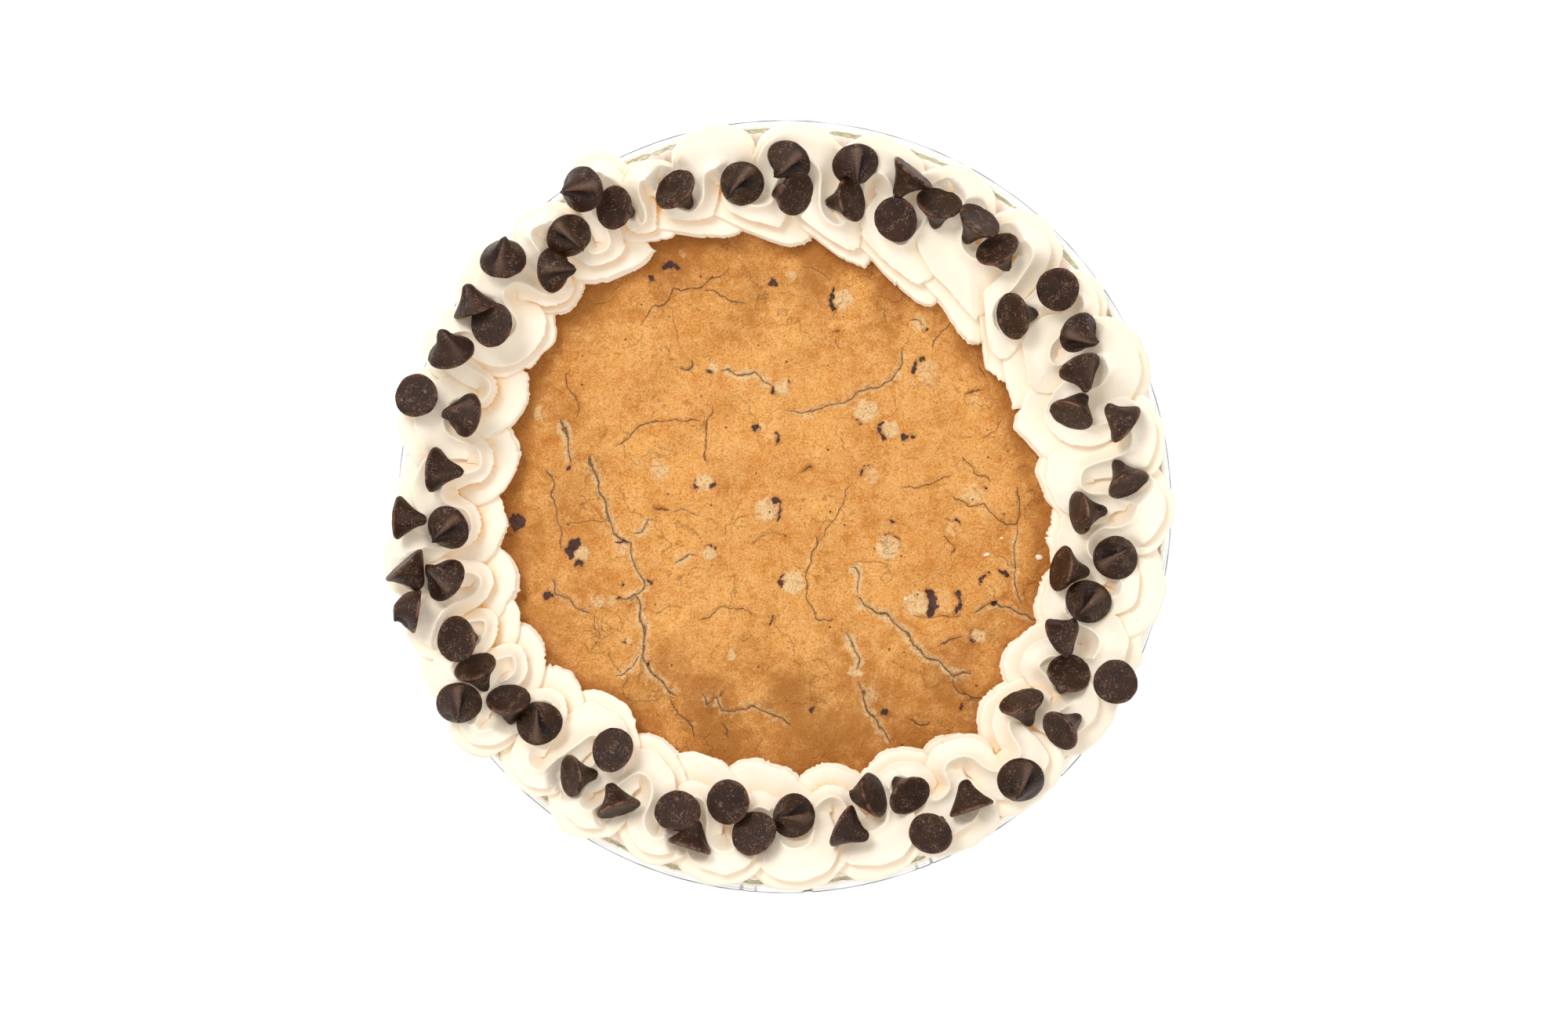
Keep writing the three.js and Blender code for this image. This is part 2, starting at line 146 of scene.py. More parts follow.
# One row a chip, by its number: the way its nib points, as an angle from +X towards +Y
# and one above the horizontal, then the way the tip of the nib is bent over, as an angle
# from +X, and how far, from 0 to 1.
CHIPS = (
    (189, 42, 200, 0.4), (-12, -53, 0, 0.1), (-50, 72, -50, 0.9), (-3, 42, 0, 0.5),
    (80, 52, 20, 0.6), (7, 14, 0, 0.4), (-15, -60, 0, 0.1), (109, 44, 130, 0.3),
    (-20, -68, 0, 0.1), (168, 38, 200, 0.5), (-7, 14, 0, 0.2), (-5, 8, 0, 0.2),
    (220, 62, 225, 0.9), (-50, -8, 270, 0.3), (150, 45, 135, 0.6), (172, 8, 200, 0.8),
    (12, -48, 20, 0.3), (-70, -30, 300, 0.3), (-80, 72, 270, 0.9), (-85, -36, 270, 0.1),
    (100, 72, 90, 0.9), (-50, -66, 300, 0.2), (3, -28, 0, 0.2), (108, -18, 120, 0.3),
    (-72, -60, 270, 0.1), (72, -6, 100, 0.3), (0, 42, -20, 0.8), (-50, -62, 300, 0.3),
    (180, 74, 180, 0.9), (-28, 15, 0, 0.2), (198, -28, 165, 0.8), (137, -48, 120, 0.3),
    (42, -58, 60, 0.3), (108, -6, 90, 0.2), (-82, 64, 270, 0.9), (-72, -26, 300, 0.3),
    (35, -17, 10, 0.3), (225, -38, 210, 0.3), (-60, -84, 0, 0.0), (33, 22, 60, 0.6),
    (235, 70, 225, 0.9), (-9, -22, 0, 0.2), (60, 76, 30, 0.9), (6, -20, 0, 0.2),
    (116, -28, 130, 0.2), (65, -28, 30, 0.5), (144, 12, 120, 0.3), (-67, 26, 270, 0.4),
    (-42, 44, -20, 0.8), (34, -60, 60, 0.3), (10, -38, 0, 0.2), (-66, -27, 320, 0.3),
    (239, -15, 230, 0.2), (249, -24, 240, 0.2), (60, -74, 45, 0.1), (230, -12, 240, 0.2),
    (-80, 58, 270, 0.8), (190, -35, 170, 0.3), (155, -42, 200, 0.7), (240, 48, 225, 0.8),
    (215, 66, 230, 1.0), (-47, -45, 320, 0.3),
)
PAIRS = {3: 4, 6: 7, 25: 26, 57: 58, 59: 60}

# Chips that lie otherwise than their plain solid: number, then the row as above and how
# far the middle of the base is shifted.
TURNED_CHIPS = {
    1: (189, 60, 190, 0.8, (0, 0, -2.2)), 3: (-48, 62, -45, 1.0, (0, 0, 0)),
    5: (84, 58, 80, 0.6, (0, 0, 0)), 6: (108, 10, 110, 0.3, (3, -4, -5.5)),
    7: (-15, -72, 0, 0.1, (2.5, -3.4, 0)), 12: (-5, 8, 0, 0.2, (0, 0, -2.5)),
    17: (6, -60, 10, 0.2, (0, 0, 0.5)), 27: (0, -70, 0, 0.1, (0, 0, 1.8)),
    35: (-82, 76, 250, 1.0, (0, 0, -2.3)), 37: (35, -32, 30, 0.3, (0, 0, -0.6)),
    38: (250, -50, 250, 0.2, (0, 0, 1)), 40: (33, 22, 60, 0.6, (0, 0, -1.2)),
    52: (-60, -40, 300, 0.3, (0, 0, 0.8)), 53: (236, -36, 240, 0.2, (0, 0, 1.5)),
    54: (262, -42, 260, 0.2, (0, 0, 1.2)),
}

# Cracks that run over the cookie's face, read off the photograph: how strong, how pale
# the dough beside it is, and a line of points.
CRACKS = (
    (0.5, 0.3, ((-15.5, 69.4), (-19, 66.8), (-22, 66), (-24, 63.3), (-28, 63), (-32.2, 63.3),
                (-34.6, 58.5), (-37.2, 58), (-40.3, 55.7), (-41.3, 52.6))),
    (0.25, 0.2, ((-40.3, 51), (-43, 47), (-47, 45.4))),
    (0.45, 0.3, ((-24, 63.3), (-19.6, 61.9), (-17, 60), (-13.4, 59.3), (-10.9, 58.5))),
    (0.25, 0.2, ((-34.6, 58.5), (-32.8, 56.5), (-31.8, 51), (-30, 44.8))),
    (0.8, 0.5, ((-30.7, 40.5), (-28.2, 39.4), (-27, 40.5), (-26.4, 42.5))),
    (0.6, 0.9, ((-19.3, 40), (-16, 39.2), (-13.4, 38), (-9, 38.4), (-4.7, 35.8), (-3, 34.4))),
    (0.4, 0.3, ((-49.8, 17.5), (-47, 18.5), (-44.7, 21.1), (-42.4, 22.9), (-39.3, 24.4),
                (-31.5, 25), (-23.8, 24.4))),
    (0.6, 0.3, ((-20.7, 29.6), (-20.7, 27.3), (-22.5, 25.2), (-23.1, 23.2), (-22.7, 19.5),
                (-23, 15.4), (-22.5, 12.3))),
    (0.9, 1.0, ((-65.1, 26), (-63.8, 22.6), (-62.8, 18.5), (-62.3, 14.9), (-62.3, 12.3))),
    (0.4, 0.2, ((-61.7, 39.2), (-63.3, 37.4), (-62.5, 34), (-60.2, 31.4), (-59.2, 27.8),
                (-60.4, 24.7))),
    (0.75, 0.8, ((-57.1, 15.4), (-56.3, 12.8), (-54.8, 9.7), (-54, 6.2), (-52.5, 3), (-51.2, -0.8),
                 (-50.6, -4.4), (-49.4, -7.5), (-47, -9.6), (-44.9, -11), (-43.9, -14.8),
                 (-42.6, -19), (-40.6, -21.5), (-40.3, -23.1), (-42.4, -25.7), (-47.8, -26.7))),
    (0.45, 0.4, ((-70.4, 10.8), (-67.4, 9.2), (-66.6, 6), (-67.9, 3.6), (-66.4, 1.2), (-65.9, -2.9),
                 (-64.8, -5.5), (-64.8, -9.1), (-64.3, -13.3))),
    (0.25, 0.2, ((-64.6, -5.5), (-60.4, -4.5), (-55.8, -4.1), (-50.6, -4.5))),
    (0.5, 0.9, ((-43.9, -8.4), (-41.8, -7.3), (-39.8, -4.8), (-39, -3.2))),
    (1.0, 0.2, ((-38.4, 0.3), (-36.8, -0.7), (-35, -1.2), (-33.3, -1.1))),
    (0.3, 0.3, ((-33.3, -1.1), (-28.4, -0.9), (-26.1, -2.2), (-23.8, -3.2))),
    (0.3, 0.2, ((-9.8, -1.7), (-13.4, -3.7), (-17.1, -5.5), (-17.3, -9.7))),
    (0.6, 0.8, ((-32.6, -17.1), (-30, -15.3), (-27.9, -13.8), (-24.8, -14.2))),
    (0.25, 0.2, ((-10.5, -12.2), (-7.8, -9.4), (-6.2, -7.9), (2, -8.1))),
    (0.6, 0.7, ((-67.7, -20.5), (-66.9, -23.1), (-65.9, -25.2), (-62.5, -27.2), (-59.9, -29.3),
                (-55.8, -30.8))),
    (0.3, 0.3, ((-55.5, -30.8), (-54.3, -35.5), (-54, -39), (-57, -42))),
    (0.85, 0.9, ((-43.4, -26), (-41.8, -28.8), (-41.3, -32.4), (-40.6, -35.5), (-40.3, -39.1),
                 (-41.1, -42.2), (-40.8, -44.3), (-38.8, -47.9), (-34.6, -52), (-31.5, -55.1))),
    (0.5, 0.8, ((-41.3, -42.7), (-44.9, -46.8), (-49.3, -49.9))),
    (0.25, 0.2, ((-39.8, -30.8), (-34.6, -29.8), (-28.9, -28.3))),
    (0.45, 0.3, ((-25.1, -34.2), (-22.2, -32.4), (-19.1, -29.5), (-14.5, -29), (-10.1, -30.6),
                 (-10.3, -32.6))),
    (0.2, 0.2, ((-14.5, -18.4), (-14.2, -24), (-14.5, -28.8))),
    (0.6, 0.6, ((-24, -53.6), (-22.6, -57), (-20, -55), (-18.2, -59.2), (-17, -59.8),
                (-13.9, -58.5), (-8.8, -57.9), (-4.1, -60.3), (-0.5, -61.8), (2, -63.4))),
    (0.55, 0.4, ((-33.6, -54.6), (-31, -60.3), (-28.4, -61.8), (-26.9, -63.9), (-25.8, -67))),
    (0.4, 0.3, ((-18.6, -61.8), (-16.8, -64.9), (-17, -68))),
    (0.5, 0.6, ((0, 27.8), (4.9, 27.3), (10.1, 28.3), (14.7, 30.1), (18.3, 30.4), (20.4, 32.7),
                (24, 34.3), (27.1, 34.5), (30.2, 36.6), (32.8, 39.2), (33.6, 41.7), (34.9, 46.4))),
    (0.2, 0.6, ((34.9, 35.3), (36.9, 35.6), (38.2, 33.2))),
    (0.3, 0.2, ((4.4, 69.4), (7.5, 69.4), (10.1, 67.8), (13.2, 66), (14.7, 67.6))),
    (0.45, 0.3, ((49.3, 54.1), (46.2, 51.6), (44.4, 49.5), (43.1, 46.9), (42.9, 44.8))),
    (0.45, 0.3, ((56, 41.5), (57.6, 38.6), (58.6, 37.1))),
    (0.3, 0.2, ((64.8, 26.3), (62.2, 24.4), (60.7, 21.6), (56, 19.5))),
    (0.55, 0.3, ((50.9, 14.9), (53.5, 12.3), (55, 9.5), (58.6, 8.5), (59.9, 6.4))),
    (0.3, 0.2, ((66.9, 10.3), (70.2, 12.1))),
    (1.0, 0.4, ((4.4, 9.8), (6.6, 10.6), (8.8, 11.9))),
    (0.8, 0.3, ((12.9, 51.2), (14.6, 50.7), (16.6, 51))),
    (0.3, 0.2, ((14.7, 50), (15.2, 47.5), (16, 44.9))),
    (0.5, 0.4, ((35.5, 54.5), (38.7, 53.8), (40.8, 51.8))),
    (1.0, 0.3, ((52.2, 32.6), (54.6, 33.4), (57.1, 33.8))),
    (0.4, 0.3, ((19.6, 6.9), (17.6, 4.8), (17, 1.2), (15.2, -2.9), (11.9, -6.6), (10.8, -9.7))),
    (0.5, 0.4, ((9, -7.6), (9.3, -11.2), (8, -13.8), (6.5, -19.5), (6.2, -25.2), (7.5, -28.8),
                (9.6, -32.6), (12.1, -33.4), (14.2, -32.6))),
    (0.35, 0.3, ((32.8, 5.1), (39, 5.6), (43.6, 6.9), (49, 9.6))),
    (0.5, 0.4, ((48.3, 4), (50.4, 2.2), (53.5, 0.2), (58.1, 0.2), (63.8, -5), (67.4, -5),
                (68.4, -1.9), (67, 5.8))),
    (0.5, 0.6, ((67.7, -5.3), (66.9, -9.7), (66.4, -13.3), (66.6, -19.5), (67.1, -25.7),
                (69.2, -28.8))),
    (0.6, 0.6, ((54.5, -31.1), (58.1, -28.8), (60.7, -27.7), (62.2, -29.3), (65.3, -29.3),
                (69, -31.6), (75, -32.8))),
    (0.8, 0.9, ((20.7, -25.7), (22.5, -28.3), (26.6, -30.3), (30.2, -32.1), (33.3, -35),
                (35.4, -36.8), (37.4, -40.1), (41.1, -43.8), (45.2, -45.3), (47.3, -47.4),
                (49.3, -48.7), (54, -48.1))),
    (1.0, 0.2, ((41.4, -44), (43.4, -44.9), (45.2, -45.4))),
    (0.4, 0.9, ((18.6, -16.6), (20.8, -18), (21.4, -21), (20.7, -25.7))),
    (0.25, 0.2, ((19.4, -15.9), (27.6, -16.4), (30.7, -17.1))),
    (0.35, 0.3, ((36.9, -31.4), (41.1, -32.6), (44.2, -31.6), (49.3, -32.1), (51.4, -31.9))),
    (0.65, 1.0, ((16.8, -36), (18.9, -38.6), (20.2, -41.9), (21.4, -44.3), (20.8, -47.5))),
    (0.7, 0.8, ((20.4, -50.5), (23, -53.6), (23.8, -58.2), (26.6, -62.3), (28.7, -66), (31, -69))),
    (0.55, 0.4, ((48.6, -48.9), (48.8, -52), (51.4, -53.8), (54.5, -55.4), (57.5, -56))),
    (0.5, 0.4, ((35.4, -61.3), (39, -62.9), (42.6, -62.9))),
    (0.6, 0.4, ((44.2, -40.3), (47.8, -38.8), (51.4, -38.1))),
    (0.4, 0.3, ((45.7, -7.6), (48.8, -11.7), (48, -14.8))),
    (0.3, 0.2, ((60.2, -12.8), (63.3, -15.3), (66.4, -18.4))),
)

# Chips baked into the dough: x, y and radius, then the part of its rim where the
# chocolate lies bare, as a middle angle from +X, half a spread and a thickness, then how
# pale the dough over it is. A radius of 0 is a bare lump as wide as the thickness.
BAKED_CHIPS = (
    (-77.4, -4.5, 0, 0, 0, 5.0, 0), (-68.7, -25.7, 0, 0, 0, 2.8, 0),
    (-59.1, -13.3, 3.0, 150, 72, 3.2, 1), (-59.5, -16.4, 0, 0, 0, 2.4, 0),
    (-33, 67.6, 2.6, 90, 75, 1.9, 0.3), (-38.5, 66, 0, 0, 0, 1.8, 0), (-3.4, 65, 0, 0, 0, 2.8, 0),
    (1.6, 66.6, 2.2, 0, 1, 0, 0.6), (-8.5, 22.9, 0, 0, 0, 2.4, 0), (-6.6, 23, 1.6, 0, 1, 0, 0.7),
    (-4.2, 19.8, 2.4, 0, 62, 0.8, 0.4), (-23.2, 7, 3, 195, 40, 1.1, 1),
    (-20.5, 6.2, 0, 0, 0, 1.8, 0), (-62.3, 11, 0, 0, 0, 1.7, 0), (-47.3, -12, 2, 90, 60, 0.9, 0.9),
    (-21.7, -13.8, 2.5, 80, 45, 0.7, 0.9), (-7, -31.5, 3.6, -25, 32, 0.6, 0.2),
    (-15.5, -43, 1.8, 0, 1, 0, 0.8), (-5.2, -0.8, 4, 0, 62, 1.1, 0.9), (-2.7, 2, 0, 0, 0, 2.2, 0),
    (2.6, -22.1, 3.8, 172, 42, 1.1, 1), (29.7, -11.8, 4, 62, 48, 0.7, 1),
    (48.5, -6.7, 2.9, 75, 55, 0.7, 0.5), (54.5, 3.4, 4, 35, 30, 0.7, 0.6),
    (38.4, -28, 4.6, 5, 62, 2.6, 0.8), (46.4, -27.5, 4.4, -5, 58, 1.5, 0.4),
    (61.2, -23, 4.6, 145, 34, 1.1, 0.3), (61.2, -23, 4.6, 62, 30, 1.0, 0),
    (56, -37.6, 2.5, 190, 62, 0.8, 0.9), (54.3, -38.9, 0, 0, 0, 1.8, 0),
    (7.7, -59, 0, 0, 0, 1.7, 0), (28.7, -59.3, 0, 0, 0, 1.9, 0),
    (54.6, -59.7, 4, 130, 52, 0.7, 0.3), (16.8, 59.9, 3.4, 185, 60, 1.3, 1),
    (41.6, 38.8, 4.4, 150, 52, 1.1, 0.6), (41.8, 36.6, 3.4, 0, 1, 0, 0.5),
    (23.5, 27.8, 3.9, 230, 30, 0.5, 1), (30.5, 22.4, 3.1, 185, 65, 1.5, 0.8),
    (34.6, 20.1, 0, 0, 0, 2.1, 0), (36.9, 20.4, 0, 0, 0, 1.6, 0), (55, 31, 2.6, 0, 1, 0, 0.5),
    (25, 9, 2.9, 140, 48, 0.8, 0.6), (38.8, 52.9, 2.8, -40, 30, 0.7, 0.7),
    (65.6, 17.4, 1.6, 200, 60, 0.7, 0.1), (32.5, 38, 1.8, 250, 40, 0.6, 0.8),
    (-36.4, 10.8, 3.4, 0, 1, 0, 0.7), (6.5, 26.8, 1.8, 0, 1, 0, 0.7),
    (20.4, -47.6, 2.5, 0, 1, 0, 0.8), (25.4, -54.4, 2.4, 0, 1, 0, 0.6),
    (20.2, -18.6, 2, 0, 1, 0, 0.8), (-54, -27.5, 2.6, 0, 1, 0, 0.7), (-50, -27.6, 2, 0, 1, 0, 0.6),
    (-20.2, -56.2, 2.6, 0, 1, 0, 0.5), (3.4, -39.4, 1.6, 0, 1, 0, 0.4),
    (-45, -39, 1.3, 180, 60, 0.4, 0.6), (-71, 27, 2.6, 0, 1, 0, 0.7),
    (-29.2, 73.6, 2.2, 0, 1, 0, 0.4), (-20.5, 40.2, 1.6, 225, 60, 0.9, 1),
    (-0.8, 34.3, 2.7, 200, 34, 0.7, 1), (-0.8, 34.3, 2.7, 40, 22, 0.5, 0),
    (-38.8, -21.8, 0, 0, 0, 1.5, 0), (-47.1, -22.6, 0, 0, 0, 1.3, 0), (-48, -26.5, 0, 0, 0, 1.3, 0),
    (-39.3, -45.2, 0, 0, 0, 1.2, 0), (60.4, -27.9, 0, 0, 0, 1.4, 0), (31.2, -4.4, 0, 0, 0, 1.3, 0),
)

# Crumbs of icing on the face: x, y and radius.
CRUMBS = ((34.9, -26.7, 0.55), (58.6, -13.8, 0.75), (58, -14.1, 0.5), (62.8, -9.1, 0.55),
          (73.6, -14.6, 1.1))


# ------------------------------------------------------------------------- arithmetic


def smoothstep(value, start, end):
    """0 before start, 1 after end, 3 t^2 - 2 t^3 between them."""
    t = np.clip((value - start) / (end - start), 0, 1)
    return t * t * (3 - 2 * t)


def bell(value, width):
    """1 at nothing, falling as exp(-(value / width)^2) either way."""
    return np.exp(-((value / width) ** 2))


def band(value, start, full, fading, end):
    """0 before start, 1 from full to fading, 0 again after end."""
    return smoothstep(value, start, full) * (1 - smoothstep(value, fading, end))


def toward(bearing, middle, none, full):
    """1 about a bearing, 0 away from it: the limits are cosines of the angle off it."""
    return smoothstep(np.cos(np.radians(bearing - middle)), none, full)


def mix(a, b, share):
    """a where share is 0, b where it is 1."""
    return a + (b - a) * share


def waves(points, size, seed, count=26):
    """The sum of `count` plane waves about `size` long, each with its own direction and
    phase, over the root of twice their number: a smooth field mostly within -1 and 1."""
    rng = np.random.default_rng(seed)
    direction = rng.normal(size=(count, points.shape[-1]))
    direction /= np.linalg.norm(direction, axis=1, keepdims=True)
    wave = direction * (TAU / (size * rng.uniform(0.7, 1.5, (count, 1))))
    phase = rng.uniform(0, TAU, count)
    return np.sin(points @ wave.T + phase).sum(-1) / np.sqrt(2 * count)


def shake(points, size, seed):
    """Two waves at each point, as a step in x and one in y."""
    return np.stack([waves(points, size, seed), waves(points, size, seed + 1)], -1)


def on_circle(degrees, radius):
    """x and y of a point at a bearing and radius."""
    angle = np.radians(degrees)
    return np.stack([radius * np.sin(angle), radius * np.cos(angle)], -1)


def direction(azimuth, elevation):
    """Unit vector at an angle from +X towards +Y and one above the horizontal."""
    a, e = np.radians(azimuth), np.radians(elevation)
    return np.stack([np.cos(e) * np.cos(a), np.cos(e) * np.sin(a), np.sin(e)], -1)


# ------------------------------------------------------------------------ mesh making


def grid_faces(rows, columns, wrap_rows=False, wrap_columns=False):
    """Four-cornered faces of a grid of points stored row by row, its two directions
    closed on themselves where asked."""
    i = np.arange(rows if wrap_rows else rows - 1)[:, None]
    j = np.arange(columns if wrap_columns else columns - 1)[None, :]
    below, right = (i + 1) % rows, (j + 1) % columns
    corners = (i * columns + j, below * columns + j, below * columns + right, i * columns + right)
    return np.stack(np.broadcast_arrays(*corners), -1).reshape(-1, 4)


def joined(parts):
    """Several (points, faces) as one pair of arrays."""
    starts = np.cumsum([0] + [len(points) for points, _ in parts[:-1]])
    points = np.concatenate([points for points, _ in parts])
    return points, np.concatenate([faces + start for (_, faces), start in zip(parts, starts)])


def make_piece(name, points, faces, material, nodes=(), values=None):
    """A piece from points in millimetres and faces: doubled points are merged, normals
    turned outwards, shading smooth. `values` are named numbers kept at the points."""
    mesh = bpy.data.meshes.new(name)
    mesh.from_pydata((points * MM).tolist(), [], faces.tolist())
    for label, numbers in (values or {}).items():
        layer = mesh.attributes.new(label, "FLOAT", "POINT")
        layer.data.foreach_set("value", np.ascontiguousarray(numbers, np.float32))
    work = bmesh.new()
    work.from_mesh(mesh)
    bmesh.ops.remove_doubles(work, verts=work.verts, dist=1e-6)
    bmesh.ops.recalc_face_normals(work, faces=work.faces)
    work.to_mesh(mesh)
    work.free()
    mesh.polygons.foreach_set("use_smooth", np.ones(len(mesh.polygons), bool))
    mesh.materials.append(material)
    piece = bpy.data.objects.new(name, mesh)
    bpy.context.scene.collection.objects.link(piece)
    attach(piece, "root")
    if nodes:
        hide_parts(*nodes)
    return piece


# ------------------------------------------------------------------------ node helpers


class Nodes:
    """Short hand for adding and linking nodes in one tree."""

    def __init__(self, tree):
        self.tree = tree

    def add(self, kind, inputs=None, **settings):
        """A node of a kind with its settings, each input given as a value or an output."""
        made = self.tree.nodes.new(kind)
        for key, value in settings.items():
            setattr(made, key, value)
        for key, value in (inputs or {}).items():
            if isinstance(value, bpy.types.NodeSocket):
                self.tree.links.new(value, made.inputs[key])
            else:
                made.inputs[key].default_value = value
        return made

    def math(self, operation, a, b=0.0, clamp=False):
        """One operation on two numbers."""
        made = self.add("ShaderNodeMath", {0: a, 1: b}, operation=operation, use_clamp=clamp)
        return made.outputs[0]

    def ramp(self, value, start, end, low=0.0, high=1.0):
        """value carried smoothly from start..end to low..high, and held outside it."""
        inputs = {"Value": value, "From Min": start, "From Max": end, "To Min": low, "To Max": high}
        made = self.add("ShaderNodeMapRange", inputs, interpolation_type="SMOOTHSTEP")
        return made.outputs["Result"]

    def times(self, a, b):
        """One number by another."""
        return self.math("MULTIPLY", a, b)

    def plus(self, a, b):
        """The sum of two numbers."""
        return self.math("ADD", a, b)

    def less(self, a, b):
        """The first number less the second."""
        return self.math("SUBTRACT", a, b)

    def blend(self, share, first, second):
        """first where share is 0, second where it is 1."""
        made = self.add("ShaderNodeMix", {0: share, 6: first, 7: second}, data_type="RGBA")
        return made.outputs[2]

    def mottle(self, size, detail, spread):
        """The MOTTLE group over object coordinates, `size` in millimetres."""
        inputs = {"Place": self.place(), "Size": size, "Detail": detail, "Spread": spread}
        return self.add("ShaderNodeGroup", inputs, node_tree=MOTTLE).outputs["Value"]

    def specks(self, size, share, width):
        """The SPECKS group over object coordinates, `size` in millimetres."""
        inputs = {"Place": self.place(), "Size": size, "Share": share, "Width": width}
        return self.add("ShaderNodeGroup", inputs, node_tree=SPECKS).outputs["Mask"]

    def stored(self, label):
        """Numbers kept at the mesh's points."""
        return self.add("ShaderNodeAttribute", attribute_name=label).outputs["Fac"]

    def place(self):
        """Object coordinates, in metres."""
        return self.add("ShaderNodeTexCoord").outputs["Object"]

    def bump(self, height, strength, distance):
        """A normal tilted by a height times a distance in metres."""
        inputs = {"Height": height, "Strength": strength, "Distance": distance}
        return self.add("ShaderNodeBump", inputs).outputs["Normal"]

    def coats(self, base, *layers):
        """Colours laid over a base in turn, each as a mask, how much of it and a colour."""
        for mask, much, paint in layers:
            base = self.blend(mask if much == 1 else self.times(mask, much), base, colour(*paint))
        return base


def colour(red, green, blue):
    """A colour of the photograph's kind, 0 to 255, as linear light."""
    value = np.array([red, green, blue]) / 255
    linear = np.where(value <= 0.04045, value / 12.92, ((value + 0.055) / 1.055) ** 2.4)
    return (*linear.tolist(), 1.0)


def new_group(name, inputs, outputs):
    """An empty shader node group and its socket ends. inputs are names and values."""
    tree = bpy.data.node_groups.new(name, "ShaderNodeTree")
    tree.interface.new_socket("Place", in_out="INPUT", socket_type="NodeSocketVector")
    for label, value in inputs.items():
        socket = tree.interface.new_socket(label, in_out="INPUT", socket_type="NodeSocketFloat")
        socket.default_value = value
    for label in outputs:
        tree.interface.new_socket(label, in_out="OUTPUT", socket_type="NodeSocketFloat")
    nodes = Nodes(tree)
    return tree, nodes, nodes.add("NodeGroupInput").outputs, nodes.add("NodeGroupOutput")


def mottle_group():
    """Soft patches: a noise whose grain has a size in millimetres, spread over 0 to 1."""
    inputs = {"Size": 5.0, "Detail": 3.0, "Spread": 0.2}
    tree, nodes, given, ends = new_group("mottle", inputs, ["Value"])
    scale = nodes.math("DIVIDE", 1000.0, given["Size"])
    noise = nodes.add(
        "ShaderNodeTexNoise",
        {"Vector": given["Place"], "Scale": scale, "Detail": given["Detail"], "Roughness": 0.55},
    ).outputs["Fac"]
    low = nodes.less(0.5, given["Spread"])
    high = nodes.plus(0.5, given["Spread"])
    nodes.tree.links.new(nodes.ramp(noise, low, high), ends.inputs["Value"])
    return tree


def speck_group():
    """Small round specks: one to a cell of a size in millimetres, where the cell's own
    random number is under Share, as wide as Width of the cell and uneven at its edge."""
    inputs = {"Size": 1.0, "Share": 0.3, "Width": 0.3}
    tree, nodes, given, ends = new_group("specks", inputs, ["Mask"])
    scale = nodes.math("DIVIDE", 1000.0, given["Size"])
    wobble = nodes.add(
        "ShaderNodeTexNoise", {"Vector": given["Place"], "Scale": scale, "Detail": 2.0}
    ).outputs["Color"]
    shifted = nodes.add(
        "ShaderNodeVectorMath", {0: wobble, 1: (0.0006, 0.0006, 0.0006)}, operation="MULTIPLY"
    ).outputs["Vector"]
    place = nodes.add(
        "ShaderNodeVectorMath", {0: given["Place"], 1: shifted}, operation="ADD"
    ).outputs["Vector"]
    cells = nodes.add("ShaderNodeTexVoronoi", {"Vector": place, "Scale": scale})
    pick = nodes.add("ShaderNodeSeparateColor", {"Color": cells.outputs["Color"]}).outputs["Red"]
    chosen = nodes.math("LESS_THAN", pick, given["Share"])
    inner = nodes.times(given["Width"], 0.6)
    spot = nodes.ramp(cells.outputs["Distance"], inner, given["Width"], 1.0, 0.0)
    nodes.tree.links.new(nodes.times(spot, chosen), ends.inputs["Mask"])
    return tree


MOTTLE = mottle_group()
SPECKS = speck_group()


def new_material(name):
    """A material with its nodes cleared to the shader: (material, Nodes, shader)."""
    material = bpy.data.materials.new(name)
    material.use_nodes = True
    nodes = Nodes(material.node_tree)
    return material, nodes, material.node_tree.nodes["Principled BSDF"]


def feed(nodes, shader, **inputs):
    """Links outputs to the shader's sockets and sets plain values on them, underscores
    standing for spaces."""
    for key, value in inputs.items():
        socket = shader.inputs[key.replace("_", " ")]
        if isinstance(value, bpy.types.NodeSocket):
            nodes.tree.links.new(value, socket)
        else:
            socket.default_value = value


# -------------------------------------------------------------------------- materials


def foil_material():
    """Thin bright foil: nearly white, its outside skin darker silver as painted shade, painted
    grey shade down the pleats' valleys, a painted reflection of the icing as dark streaks,
    dull gold in the groove and painted brown shade along the rim's edges and in its nicks.
    Its inside glows faintly with the light thrown between icing and wall."""
    material, nodes, shader = new_material("rolled_foil")
    haze = nodes.mottle(9.0, 4.0, 0.25)
    frayed_edge = nodes.mottle(2.2, 4.0, 0.25)
    outside = nodes.stored("outside")
    groove = nodes.plus(nodes.stored("groove"), nodes.times(frayed_edge, 0.5))
    silver = nodes.coats(
        nodes.blend(haze, colour(238, 240, 243), colour(252, 253, 254)),
        # Painted shade: the outside skin darker silver.
        (outside, 0.9, (146, 149, 153)),
        # Painted shade, grey down the pleats' valleys.
        (nodes.stored("pleat"), 1, (104, 106, 110)),
        # Painted reflection: dark streaks where the icing mirrors in the wall.
        (nodes.stored("painted_reflection_streak"), 1, (62, 64, 70)),
    )
    gold = nodes.blend(frayed_edge, colour(132, 126, 92), colour(196, 190, 160))
    tint = nodes.blend(nodes.ramp(groove, 0.6, 1.0), silver, gold)
    # Painted shade along the rim's edges and in its nicks.
    base = nodes.coats(tint, (nodes.stored("rim_edge_shade"), 1, (74, 66, 54)))
    feed(
        nodes, shader,
        Base_Color=base,
        Emission_Color=nodes.blend(outside, base, colour(0, 0, 0)),
        Emission_Strength=0.25,
        Roughness=nodes.ramp(haze, 0.0, 1.0, 0.2, 0.36),
        Normal=nodes.bump(nodes.mottle(1.4, 5.0, 0.3), 0.5, 0.0002),
        Metallic=0.3,
    )
    return material


